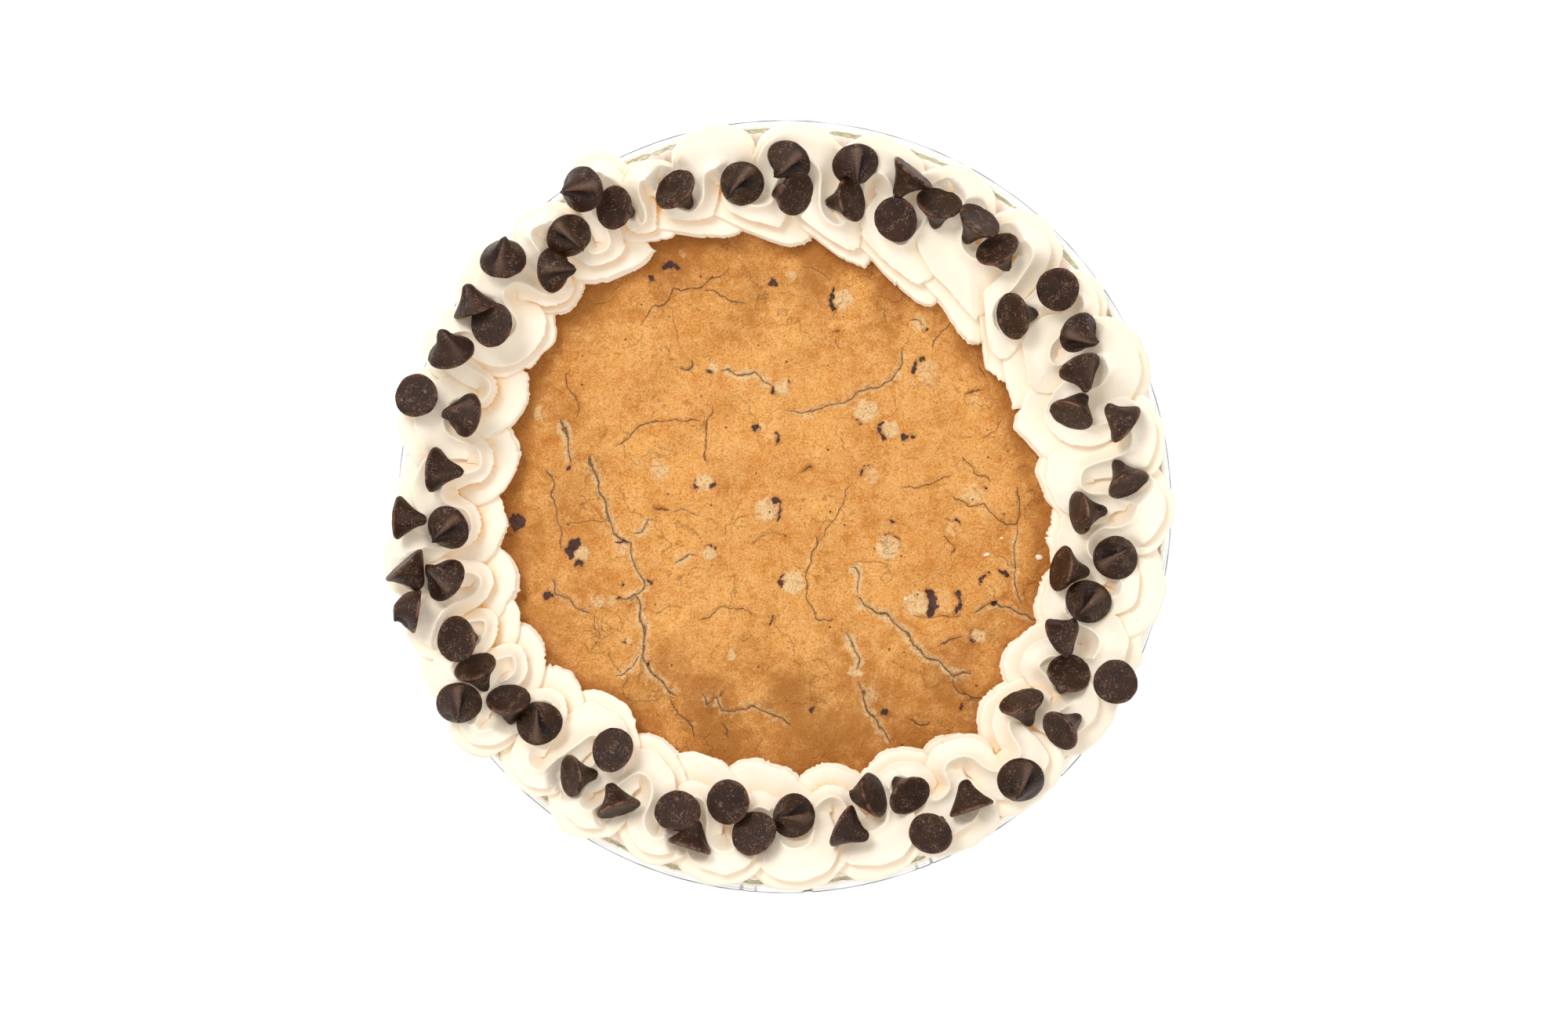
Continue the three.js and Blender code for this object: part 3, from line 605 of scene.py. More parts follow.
def cookie_material():
    """Baked dough: golden with a fine brown and pale grain, darker towards the icing and three
    sides of the picture, partly as browning and partly as painted shade, pale over chips and
    beside cracks, with thin dark cracks, hair cracks, bare chocolate and small dark specks."""
    material, nodes, shader = new_material("baked_cookie_face")
    broad = nodes.mottle(16.0, 5.0, 0.18)
    middle = nodes.mottle(3.6, 6.0, 0.2)
    fine = nodes.mottle(0.55, 4.0, 0.3)
    dust = nodes.mottle(1.6, 6.0, 0.25)
    browning_and_shade = nodes.plus(nodes.stored("browning_and_shade"), nodes.times(nodes.less(0.5, middle), 0.3))
    pale = nodes.plus(nodes.stored("pale"), nodes.times(nodes.less(dust, 0.5), 0.5))
    grain = nodes.times(nodes.ramp(fine, 0.5, 1.0, 0.0, 0.4), nodes.ramp(browning_and_shade, 0.1, 0.9, 1.0, 0.3))
    small = nodes.specks(1.5, 0.22, 0.2)
    large = nodes.specks(4.2, 0.3, 0.1)
    level = nodes.math("ABSOLUTE", nodes.less(nodes.mottle(26.0, 8.0, 0.5), 0.5))
    hair = nodes.times(nodes.ramp(level, 0.0, 0.009, 1.0, 0.0), nodes.ramp(broad, 0.35, 0.7))
    wander = nodes.ramp(nodes.mottle(1.3, 4.0, 0.3), 0, 1, -0.14, 0.14)
    away = nodes.math("ABSOLUTE", nodes.plus(nodes.stored("crack_side"), wander))
    strength = nodes.stored("crack")
    width = nodes.plus(nodes.times(strength, nodes.ramp(dust, 0.0, 1.0, 0.05, 0.5)), 0.08)
    line = nodes.math("SUBTRACT", 1.0, nodes.math("DIVIDE", away, width), clamp=True)
    line = nodes.times(nodes.ramp(line, 0.0, 0.7), nodes.ramp(strength, 0.02, 0.45))
    soft = nodes.times(nodes.ramp(away, 0.0, 0.9, 1.0, 0.0), nodes.ramp(strength, 0.0, 0.9))
    ragged = nodes.ramp(nodes.mottle(1.2, 4.0, 0.3), 0, 1, -0.45, 0.3)
    inside = nodes.plus(nodes.stored("bare_chip"), ragged)
    bare = nodes.ramp(inside, -0.12, 0.12)
    base = nodes.coats(
        nodes.blend(broad, colour(203, 128, 44), colour(226, 160, 78)),
        (middle, 0.5, (234, 178, 108)),
        # Browning and painted shade: darker towards the icing and three sides.
        (nodes.ramp(browning_and_shade, 0.0, 1.0, 0.0, 0.85), 1, (158, 98, 32)),
        (nodes.ramp(pale, 0.2, 0.95, 0.0, 0.8), 1, (226, 194, 144)),
        (nodes.ramp(fine, 0.0, 0.5, 0.75, 0.0), 1, (168, 94, 32)),
        (grain, 1, (242, 204, 150)),
        (nodes.ramp(dust, 0.0, 0.4, 0.45, 0.0), 1, (184, 108, 38)),
        (small, 0.6, (140, 78, 32)),
        (large, 0.85, (84, 44, 22)),
        (hair, 0.4, (138, 84, 38)),
        (soft, 0.4, (146, 98, 48)),
        (line, 0.75, (94, 58, 28)),
        (nodes.ramp(inside, -1.0, 0.1), 0.45, (150, 92, 50)),
    )
    base = nodes.blend(bare, base, nodes.blend(middle, colour(58, 32, 24), colour(86, 50, 38)))
    height = nodes.plus(nodes.times(fine, 0.3), nodes.times(dust, 0.6))
    deepest = nodes.math("MAXIMUM", line, nodes.times(hair, 0.6))
    dips = nodes.plus(nodes.times(large, 0.8), deepest)
    feed(
        nodes, shader,
        Base_Color=base,
        Roughness=nodes.ramp(bare, 0.0, 1.0, 0.72, 0.45),
        Normal=nodes.bump(nodes.less(height, dips), 0.7, 0.0005),
        Specular_IOR_Level=0.3,
    )
    return material


def icing_material():
    """Piped butter icing: ivory, faintly see-through, with painted warm shade down in its
    folds and a painted highlight on its crests, and tiny air dots. A faint warm glow, warmer
    in the folds, stands for the light it passes on."""
    material, nodes, shader = new_material("ivory_icing")
    broad = nodes.mottle(24.0, 3.0, 0.2)
    icing_crease_shade = nodes.stored("icing_crease_shade")
    dots = nodes.specks(2.6, 0.35, 0.07)
    grain = nodes.mottle(0.9, 3.0, 0.3)
    base = nodes.coats(
        nodes.blend(broad, colour(235, 216, 189), colour(239, 221, 197)),
        # Painted warm shade down in the folds.
        (icing_crease_shade, 1, (240, 201, 140)),
        (nodes.ramp(icing_crease_shade, 0.5, 1.0), 1, (226, 172, 104)),
        # Painted highlight on the crests.
        (nodes.stored("crest_highlight"), 0.6, (243, 235, 220)),
        (dots, 0.25, (226, 204, 170)),
    )
    feed(
        nodes, shader,
        Base_Color=base,
        Emission_Color=nodes.blend(icing_crease_shade, colour(252, 228, 190), colour(255, 200, 118)),
        Emission_Strength=0.11,
        Roughness=nodes.ramp(broad, 0.0, 1.0, 0.42, 0.55),
        Normal=nodes.bump(nodes.less(nodes.times(grain, 0.3), dots), 0.25, 0.0002),
        Subsurface_Weight=0.15,
        Subsurface_Radius=(1.0, 0.8, 0.6),
        Subsurface_Scale=0.0012,
        Specular_IOR_Level=0.4,
    )
    return material


def chocolate_material():
    """Dark baking chocolate, satin, bloomed in soft patches, scuffed with beige specks, with
    painted shade in the crease beside its bent nib, a painted highlight on its ridge and a
    broken tan line round its base."""
    material, nodes, shader = new_material("dark_chocolate_satin")
    bloom = nodes.mottle(5.0, 4.0, 0.22)
    dust = nodes.mottle(0.55, 5.0, 0.2)
    drift = nodes.mottle(3.2, 3.0, 0.15)
    scuff = nodes.mottle(1.9, 4.0, 0.16)
    dusty = nodes.plus(dust, nodes.times(nodes.less(drift, 0.5), 0.35))
    rim = nodes.times(nodes.stored("rim"), nodes.mottle(2.4, 4.0, 0.1))
    base = nodes.coats(
        nodes.blend(bloom, colour(38, 19, 9), colour(58, 34, 19)),
        (nodes.ramp(dusty, 0.72, 1.0), 0.42, (136, 110, 90)),
        (nodes.ramp(nodes.times(scuff, drift), 0.8, 1.0), 0.5, (138, 102, 80)),
        (rim, 0.75, (142, 98, 74)),
        # Painted shade in the crease beside the bent nib.
        (nodes.stored("crease"), 0.9, (16, 9, 7)),
        # Painted highlight on the ridge.
        (nodes.stored("ridge"), 0.75, (120, 92, 74)),
    )
    height = nodes.plus(nodes.times(dust, 0.5), nodes.times(scuff, 0.5))
    feed(
        nodes, shader,
        Base_Color=base,
        Roughness=nodes.ramp(bloom, 0.0, 1.0, 0.36, 0.55),
        Normal=nodes.bump(height, 0.5, 0.0003),
        Specular_IOR_Level=0.22,
    )
    return material


# --------------------------------------------------------------------------- foil pan


def pan_wall_height(radius):
    """Height of the pan's sloping inner wall at a radius."""
    return mix(FOIL, WALL_TOP[1], (radius - BASE_RADIUS) / (WALL_TOP[0] - BASE_RADIUS))


def pan_profile():
    """Radius and height from the middle of the inside, up the wall, over the rolled rim
    and back under to the middle: the rim is an arc of 270 degrees."""
    bead = 1.02
    middle = (RIM_RADIUS - bead, RIM_HEIGHT - bead)
    arc = np.radians(np.linspace(150, -110, 19))
    rim = np.stack([middle[0] + bead * np.cos(arc), middle[1] + bead * np.sin(arc)], -1)
    share = np.linspace(0.04, 1, 12)[:, None]
    inside = mix(np.array([[BASE_RADIUS, FOIL]]), np.array([WALL_TOP]), share)
    outside = inside[::-1] + (FOIL, -FOIL)
    return np.concatenate([
        [(0, FOIL), (BASE_RADIUS * 0.6, FOIL), (BASE_RADIUS - 1.5, FOIL)],
        inside,
        [(107.9, 29.1), (108.4, 28.7)],
        rim,
        outside,
        [(BASE_RADIUS - 1.2, 0), (BASE_RADIUS * 0.6, 0), (0, 0)],
    ])


def make_pan(material):
    """The profile turned about Z. The wall is pressed in and out by a sine of PLEATS
    waves round the pan, uneven in step and depth and full only between the base and the
    rim; the rim is nicked where a field of waves is high. The material reads painted shade
    where the pleats lie low, a painted reflection as streaks, the groove, painted shade in
    the nicks and along the rim's outline, and which skin is outside, painted darker as shade."""
    columns = 1500
    profile = pan_profile()
    bearing = np.linspace(0, 360, columns, endpoint=False)
    ring = on_circle(bearing, 100.0)
    phase = PLEATS * np.radians(bearing) + 1.6 * waves(ring, 16, 3)
    depth = 0.3 + 0.16 * waves(ring, 9, 4)
    pleat = np.sin(phase) * depth + 0.16 * waves(ring, 2.4, 5)
    nick = np.clip(waves(ring, 3.4, 6) * 2.4 - 1.5, 0, 1) ** 2
    radius, height = profile[:, :1], profile[:, 1:]
    on_wall = band(height, 3, 9, 27.6, 28.8) * (radius > BASE_RADIUS) * (radius < 108.0)
    on_rim = smoothstep(radius, 108.3, 109.4) * (height > 27.5)
    moved = radius + on_wall * pleat - on_rim * nick * 0.3
    lifted = height - on_rim * nick * 0.16 + 0.05 * on_wall * pleat
    wavy = 0.12 * waves(ring, 22, 7) * smoothstep(radius, 100, 109)
    angle = np.radians(bearing)
    points = np.stack(
        [moved * np.sin(angle), moved * np.cos(angle), np.minimum(lifted + wavy, RIM_HEIGHT)], -1
    )
    points[..., 2] = np.where(height < 1, height, points[..., 2])
    groove = band(radius, 107.0, 107.5, 108.8, 109.2) * (height > 27.5)
    groove = groove * np.clip(0.85 + 0.25 * waves(ring, 9, 8), 0, 1)
    # Painted shade: a dark line along the rim's outer edge and a fainter one inside the bead.
    outline = smoothstep(radius, RIM_RADIUS - 0.5, RIM_RADIUS - 0.25)
    outline = outline * (0.85 + 0.3 * waves(ring, 9, 9))
    second = np.clip(0.6 + waves(ring, 11, 10), 0, 1)
    outline += 0.5 * bell(radius - RIM_RADIUS + 0.95, 0.16) * second
    # Painted shade in the nicks of the rim.
    nick_shade = on_rim * nick * smoothstep(radius, 108.9, 109.4)
    patchy = np.clip(0.6 + 0.6 * waves(ring, 5, 12), 0, 1)
    # Painted shade down the valleys of the pleats, patchy.
    pleat_shade = on_wall * smoothstep(-pleat / 0.45, 0.1, 0.9) * patchy
    # Painted reflection: dark streaks on the wall where the icing mirrors in it, at the right and
    # the bottom of the picture.
    painted_reflection_streak = on_wall * toward(bearing, 104, 0.8, 0.93) * smoothstep(waves(ring, 2.2, 13), 0.25, 0.9)
    below = on_wall * toward(bearing, 188, 0.6, 0.9) * smoothstep(waves(ring, 2.0, 14), 0.7, 1.3)
    # The outside skin, which the foil material paints darker as shade.
    outside = np.arange(len(profile))[:, None] >= len(profile) - OUTSIDE_ROWS
    values = {
        "outside": np.broadcast_to(outside.astype(float), moved.shape).ravel(),
        "pleat": pleat_shade.ravel(),
        "painted_reflection_streak": np.clip(painted_reflection_streak + 0.6 * below, 0, 1).ravel(),
        "groove": np.broadcast_to(groove, moved.shape).ravel(),
        "rim_edge_shade": np.clip(nick_shade * 0.75 + outline, 0, 1).ravel(),
    }
    faces = grid_faces(len(profile), columns, wrap_columns=True)
    return make_piece(
        "foil_pan_crimped", points.reshape(-1, 3), faces, material, ["foil_pan"], values
    )


# ----------------------------------------------------------------------------- cookie


def disc_points(steps, radius):
    """A square grid mapped evenly on a disc: the distance from the middle is the larger
    coordinate, and the smaller one shares out its quarter turn."""
    side = np.linspace(-1, 1, steps)
    a, b = np.meshgrid(side, side, indexing="ij")
    wide = np.abs(a) > np.abs(b)
    with np.errstate(divide="ignore", invalid="ignore"):
        turn = np.where(wide, np.pi / 4 * b / a, np.pi / 2 - np.pi / 4 * a / b)
    turn = np.nan_to_num(turn)
    reach = np.where(wide, a, b)
    return np.stack([reach * np.cos(turn), reach * np.sin(turn)], -1).reshape(-1, 2) * radius


def inner_reach(bearing):
    """Radius of the icing's inner silhouette at a bearing, straight between its turns."""
    return np.interp(bearing % 360, LOOPS[:, 4], LOOPS[:, 7], period=360)


def crack_field(flat):
    """For each point, the nearest crack: the distance to it, below zero on its right, how
    strong it is there and how pale the dough beside it. Each crack is a line of straight
    stretches, faint at both ends; the points are shaken by waves first."""
    loose = flat + 0.5 * shake(flat, 5, 31)
    loose += 0.1 * shake(flat, 1.6, 33)
    nearest, strength = np.full(len(flat), 9.0), np.zeros(len(flat))
    side, pale = np.full(len(flat), 9.0), np.zeros(len(flat))
    for strong, beside, line in CRACKS:
        line = np.array(line)
        lengths = np.linalg.norm(np.diff(line, axis=0), axis=1)
        done = np.append(0, np.cumsum(lengths))
        for number, run in enumerate(np.diff(line, axis=0)):
            away = loose - line[number]
            share = np.clip(away @ run / lengths[number] ** 2, 0, 1)
            gap = away - share[:, None] * run
            length = np.linalg.norm(gap, axis=1)
            closer = length < nearest
            nearest = np.where(closer, length, nearest)
            turn = np.sign(run[0] * gap[:, 1] - run[1] * gap[:, 0])
            side = np.where(closer, turn * length, side)
            along = done[number] + share * lengths[number]
            faint = smoothstep(np.minimum(along, done[-1] - along), -0.6, 2.2)
            strength = np.where(closer, strong * faint, strength)
            pale = np.maximum(pale, beside * faint * bell(length, 1.7))
    return side, strength, pale


def chip_field(flat):
    """How far inside bare chocolate each point is, in millimetres and below zero outside
    it, how pale the dough is, and the rise over every chip. The chocolate is a band along
    part of a circle, thinner towards its ends, or a lump."""
    loose = flat + 0.4 * shake(flat, 2.6, 35)
    bare, pale, rise = np.full(len(flat), -2.0), np.zeros(len(flat)), np.zeros(len(flat))
    for x, y, radius, middle, spread, thick, light in BAKED_CHIPS:
        near = np.flatnonzero(np.abs(flat - (x, y)).max(1) < 12)
        away = loose[near] - (x, y)
        gap = np.linalg.norm(away, axis=1)
        if radius == 0:
            inside = thick / 2 - gap
        else:
            angle = np.degrees(np.arctan2(away[:, 1], away[:, 0])) - middle
            angle = np.abs((angle + 180) % 360 - 180) / spread
            half = thick / 2 * np.sqrt(np.clip(1 - angle**2, 0, 1))
            inside = half - np.abs(gap - radius) - 2 * (angle > 1)
            pale[near] = np.maximum(pale[near], light * (1 - smoothstep(gap / radius, 0.6, 1.15)))
            rise[near] += 0.3 * bell(gap / radius, 1.2) - 0.25 * bell(gap / radius - 1, 0.16)
        bare[near] = np.maximum(bare[near], inside)
    return bare, pale, rise


def face_fields(flat):
    """Height of the cookie's face at each point and the fields its material reads. The
    height is a low crown, three sizes of unevenness, a step and a groove at every crack
    and a rise over every baked-in chip."""
    spread = np.linalg.norm(flat, axis=1)
    side, strength, beside = crack_field(flat)
    bare, pale, rise = chip_field(flat)
    gap = np.abs(side)
    relief = rise - 0.7 * strength * bell(gap, 0.45)
    relief += strength * np.tanh(side / 0.9) * bell(gap, 4.5)
    relief -= 0.2 * smoothstep(bare, -0.2, 0.3)
    rough = 0.85 * waves(flat, 22, 11) + 0.16 * waves(flat, 8, 12) + 0.05 * waves(flat, 1.7, 15)
    height = COOKIE_EDGE + 0.7 * (1 - smoothstep(spread, 66, 90))
    height += (rough + relief) * (1 - smoothstep(spread, 84, 90))
    near = strength * (1 - smoothstep(gap, 0.7, 1.2))
    pale = np.maximum(pale, beside)
    return height, {"crack_side": side, "crack": near, "bare_chip": bare, "pale": pale}


def make_cookie(material):
    """The face is a height over an even disc grid. A rounded shoulder, the sloping side
    and a flat bottom, turned about Z through the face's own edge points, close it."""
    steps, shoulder = 306, 0.97
    flat = disc_points(steps, 1.0)
    share = np.linalg.norm(flat, axis=1)
    beyond_face = mix(FACE_RADIUS, COOKIE_RADIUS, (share - shoulder) / 0.03)
    spread = np.where(share < shoulder, share / shoulder * FACE_RADIUS, beyond_face)
    flat = flat / np.maximum(share, 1e-9)[:, None] * spread[:, None]
    bearing = np.degrees(np.arctan2(flat[:, 0], flat[:, 1]))
    height, values = face_fields(flat)
    face = np.column_stack([flat, height])
    order = np.arange(steps * steps).reshape(steps, steps)
    edge = np.concatenate([order[0, :-1], order[:-1, -1], order[-1, :0:-1], order[:0:-1, 0]])
    rows = [face[edge]]
    for radius, z in COOKIE_SIDE:
        flat_row = face[edge][:, :2] / COOKIE_RADIUS * radius
        rows.append(np.column_stack([flat_row, np.full(len(edge), z)]))
    skirt = np.concatenate(rows)
    points, faces = joined([
        (face, grid_faces(steps, steps)),
        (skirt, grid_faces(len(rows), len(edge), wrap_columns=True)),
    ])
    inner = inner_reach(bearing)
    # Painted shade where the icing shades the face near its inner edge, with browning; then
    # browning and painted shade towards three sides.
    browning_and_shade = 0.9 * smoothstep(spread, inner - 10, inner + 1)
    for depth, way, size, seed, start, end in BROWNED_AND_SHADED_SIDES:
        out = flat @ way + 4 * waves(flat, size, seed)
        browning_and_shade = np.maximum(browning_and_shade, depth * smoothstep(out, start, end))
    browning_and_shade += 0.3 * waves(flat, 24, 17) - 0.06
    values["browning_and_shade"] = np.clip(browning_and_shade, 0, 1)
    beyond = {"crack_side": 9.0, "crack": 0.0, "bare_chip": -2.0, "pale": 0.0, "browning_and_shade": 0.5}
    values = {
        key: np.append(field, np.full(len(skirt), beyond[key])) for key, field in values.items()
    }
    return make_piece("cookie_round", points, faces, material, ["cookie"], values)


def make_crumbs(material):
    """Crumbs of icing on the cookie's face: small spheres dented by waves, half sunk."""
    rows, columns = 9, 14
    turn = np.linspace(0, TAU, columns, endpoint=False)[None, :]
    tilt = np.linspace(0, np.pi, rows)[:, None]
    upright = np.cos(tilt) + 0 * turn
    ball = np.stack([np.sin(tilt) * np.cos(turn), np.sin(tilt) * np.sin(turn), upright], -1)
    faces = grid_faces(rows, columns, wrap_columns=True)
    parts = []
    for number, (x, y, radius) in enumerate(CRUMBS):
        height, _ = face_fields(np.array([(x, y)]))
        dented = 1 + 0.3 * waves(ball + 9 * number, 1.1, 71)[..., None]
        lump = ball * radius * dented * (1.0, 0.7, 0.6)
        parts.append(((lump + (x, y, height[0] + 0.2)).reshape(-1, 3), faces))
    points, faces = joined(parts)
    values = dict.fromkeys(("icing_crease_shade", "crest_highlight"), np.zeros(len(points)))
    make_piece("icing_crumbs", points, faces, material, (), values)


# ----------------------------------------------------------------------- icing border


def foot_height(radius):
    """The rope stands on the cookie and climbs smoothly over the pan's rim."""
    return FOOT + FOOT_RISE * smoothstep(radius, RISE_FROM, RISE_FROM + RISE_OVER)


def rest_height(radius):
    """Lowest height of icing at a radius: on the cookie, on the wall, on the rim."""
    on_wall = pan_wall_height(radius) + 0.5
    return np.maximum(FOOT, np.minimum(on_wall, RIM_HEIGHT + 0.35))


# The rope's top sheet from the crest down one side: the share of the upper petal's
# reach at each point, then points past its rim as the share, a step in from the rim
# and a step down from it.
TOP_SHARES = np.array([0, 0.045, 0.1, 0.17, 0.27, 0.41, 0.58, 0.76, 0.91, 0.98])
TOP_RIM = np.array([(1.0, 0.0, 0.35), (1.0, 0.12, 0.8), (1.0, 0.9, 1.15)])

# The lower petals on one side, from the middle: shares of the upper petal's reach, of
# the lower one's and of the bottom tier's, a step in from there, the share of the
# lower petal's level and a step down from it.
LOWER_TIERS = np.array([
    (0.45, 0, 0, 0.0, 1, -0.3), (1, 0, 0, 0.8, 1, -0.1), (0.55, 0.45, 0, 0.0, 1, 0.0),
    (0.2, 0.8, 0, 0.0, 1, 0.05), (0, 1, 0, 0.12, 1, 0.25), (0, 1, 0, 0.0, 1, 0.65),
    (0, 1, 0, 0.15, 1, 1.15), (0, 1, 0, 0.8, 1, 1.6), (0, 0, 1, 1.1, 1, 2.1),
    (0, 0, 1, 0.15, 1, 2.6), (0, 0, 1, 0.0, 1, 3.1), (0, 0, 1, 0.5, 1, 4.0),
    (0, 0, 1, 1.7, 0, 0.0),
])
CREST_ROUND = 0.4

# Reach of the stroke half way between turns and inside the far turn, upper then lower.
STROKE_REACH = (5.0, 5.8)
INSIDE_REACH = (4.4, 5.2)

# Outer side, then inner: how far along the way to the next turn the petal keeps its full
# reach and where it ends, and the level of the upper and of the lower petals.
PETAL_WINDOW = ((0.24, 0.58), (0.34, 0.72))
RIM_LEVEL = (11.5, 10.6)
LOWER_LEVEL = (8.8, 7.0)

# Fall of the petals towards the next loop, and how far inner petals are swept round.
LEAN = 0.26
SWEEP = 1.05


def rope_path(steps):
    """Bearing and radius of the crest line, and for the outer and the inner side the
    reach of the upper petal, that of the lower one, and how near the side's own turn is.
    Between two turns the radius follows half a cosine, and the bearing runs evenly plus
    a sine that rounds the turns. A side's reach is the petal's at its own turn, the
    stroke's half way and little inside the other turn; where the notches are deep the
    petal's part of the way is shorter."""
    bearing = LOOPS[:, [0, 4]].ravel()
    crest = LOOPS[:, [1, 5]].ravel()
    reach = np.abs(LOOPS[:, [2, 6, 3, 7]].reshape(-1, 2, 2) - crest.reshape(-1, 1, 2))
    next_bearing = np.append(bearing[1:], bearing[0] + 360)
    even = np.linspace(0, 1, steps, endpoint=False)
    t = even - 0.075 * np.sin(TAU * even)
    turned = (1 - np.cos(np.pi * t)) / 2
    run = (next_bearing - bearing)[:, None]
    path_bearing = bearing[:, None] + run * (t + 0.12 * np.sin(TAU * t))
    path_radius = mix(crest[:, None], np.append(crest[1:], crest[0])[:, None], turned)
    starts = np.arange(len(bearing)) % 2
    deeper = deep_notches(path_bearing)
    sides = []
    for own in (0, 1):
        at_start = (starts == own)[:, None]
        nearness = np.where(at_start, 1 - turned, turned)
        signed = np.where(at_start, t, t - 1)
        side = []
        for layer in (0, 1):
            here = np.repeat(reach[:, layer, own], 2)
            here = here[:, None] if own else np.roll(here, -1)[:, None]
            wing = 0.35 * wing_share(path_bearing) * own
            near, far = PETAL_WINDOW[own]
            near, far = near - 0.06 * deeper[own], far - 0.14 * deeper[own]
            petal = band(signed, -far, -near - 0.3 * wing, near - 0.3 * wing, far - 0.1 * wing)
            wide = mix(STROKE_REACH[layer], here, petal)
            side.append(mix(INSIDE_REACH[layer], wide, smoothstep(nearness, 0.08, 0.5)))
        sides.append([part.ravel() for part in (*side, nearness)])
    return path_bearing.ravel(), path_radius.ravel(), sides


def deep_notches(bearing):
    """How much deeper the notches between petals are cut: outside where the photo shows
    wide foil, inside at the top right of the cake."""
    wide_foil = np.maximum(toward(bearing, 139, 0.94, 0.98), toward(bearing, 345, 0.985, 0.995))
    return wide_foil, toward(bearing, 35, 0.8, 0.93)


def wing_share(bearing):
    """How far the inner petals are swept towards their clockwise end: 0.9 at the top of
    the cake, 0.1 at its bottom and left, a little the other way on its right."""
    top = toward(bearing, 10, 0.5, 0.8)
    right = toward(bearing, 92, 0.88, 0.97)
    return 0.1 + 0.8 * top * (1 - right) - 0.35 * right


def top_sheet(upper, level, dish):
    """Distances and heights of the top sheet on one side. From the crest, the height
    falls by an exponential towards the petal's level, and lifts again to its rim by the
    dish; past the rim the edge drops and turns in under."""
    away = TOP_SHARES[:, None] * upper
    soft = np.sqrt(away**2 + CREST_ROUND**2) - CREST_ROUND
    fall = np.clip(upper * 0.34, 1.0, 1.5)
    height = level + (CREST - level) * np.exp(-soft / fall) + dish * TOP_SHARES[:, None] ** 2
    rim = TOP_RIM[:, :1] * upper - TOP_RIM[:, 1:2]
    rim_height = level + dish - TOP_RIM[:, 2:] + 0 * upper
    return np.concatenate([away, rim]), np.concatenate([height, rim_height])


def lower_sheet(upper, lower, bottom, level):
    """Distances and heights of the lower petals on one side, from LOWER_TIERS."""
    shares, (step_in, share, down) = LOWER_TIERS[:, :3], LOWER_TIERS.T[3:, :, None]
    away = shares @ np.stack([upper, lower, bottom]) - step_in
    return away, np.maximum(share * level - down, 0)


def frayed(line, left, sign, reach, amount, seed):
    """A reach swelling by long waves and torn by the product of two short ones, all
    taken where the rim lies."""
    rim = line + sign * left * reach[:, None]
    torn = np.clip(waves(rim, 2.6, seed) - 0.2, -0.3, 1) * waves(rim, 1.0, seed + 1) * 1.6
    return reach * (1 + 0.05 * waves(rim, 8, seed + 2)) + amount * torn


def swept(flat):
    """Points inside the crest's inner turns moved clockwise round the cake, as far as
    they lie inside them times the wing's share, so that each round petal slants."""
    bearing = np.degrees(np.arctan2(flat[..., 0], flat[..., 1]))
    radius = np.linalg.norm(flat, axis=-1)
    crest = np.interp(bearing % 360, LOOPS[:, 4], LOOPS[:, 5], period=360)
    inside = np.maximum(crest - 1.0 - radius, 0)
    return on_circle(bearing + np.degrees(SWEEP * wing_share(bearing) * inside / radius), radius)


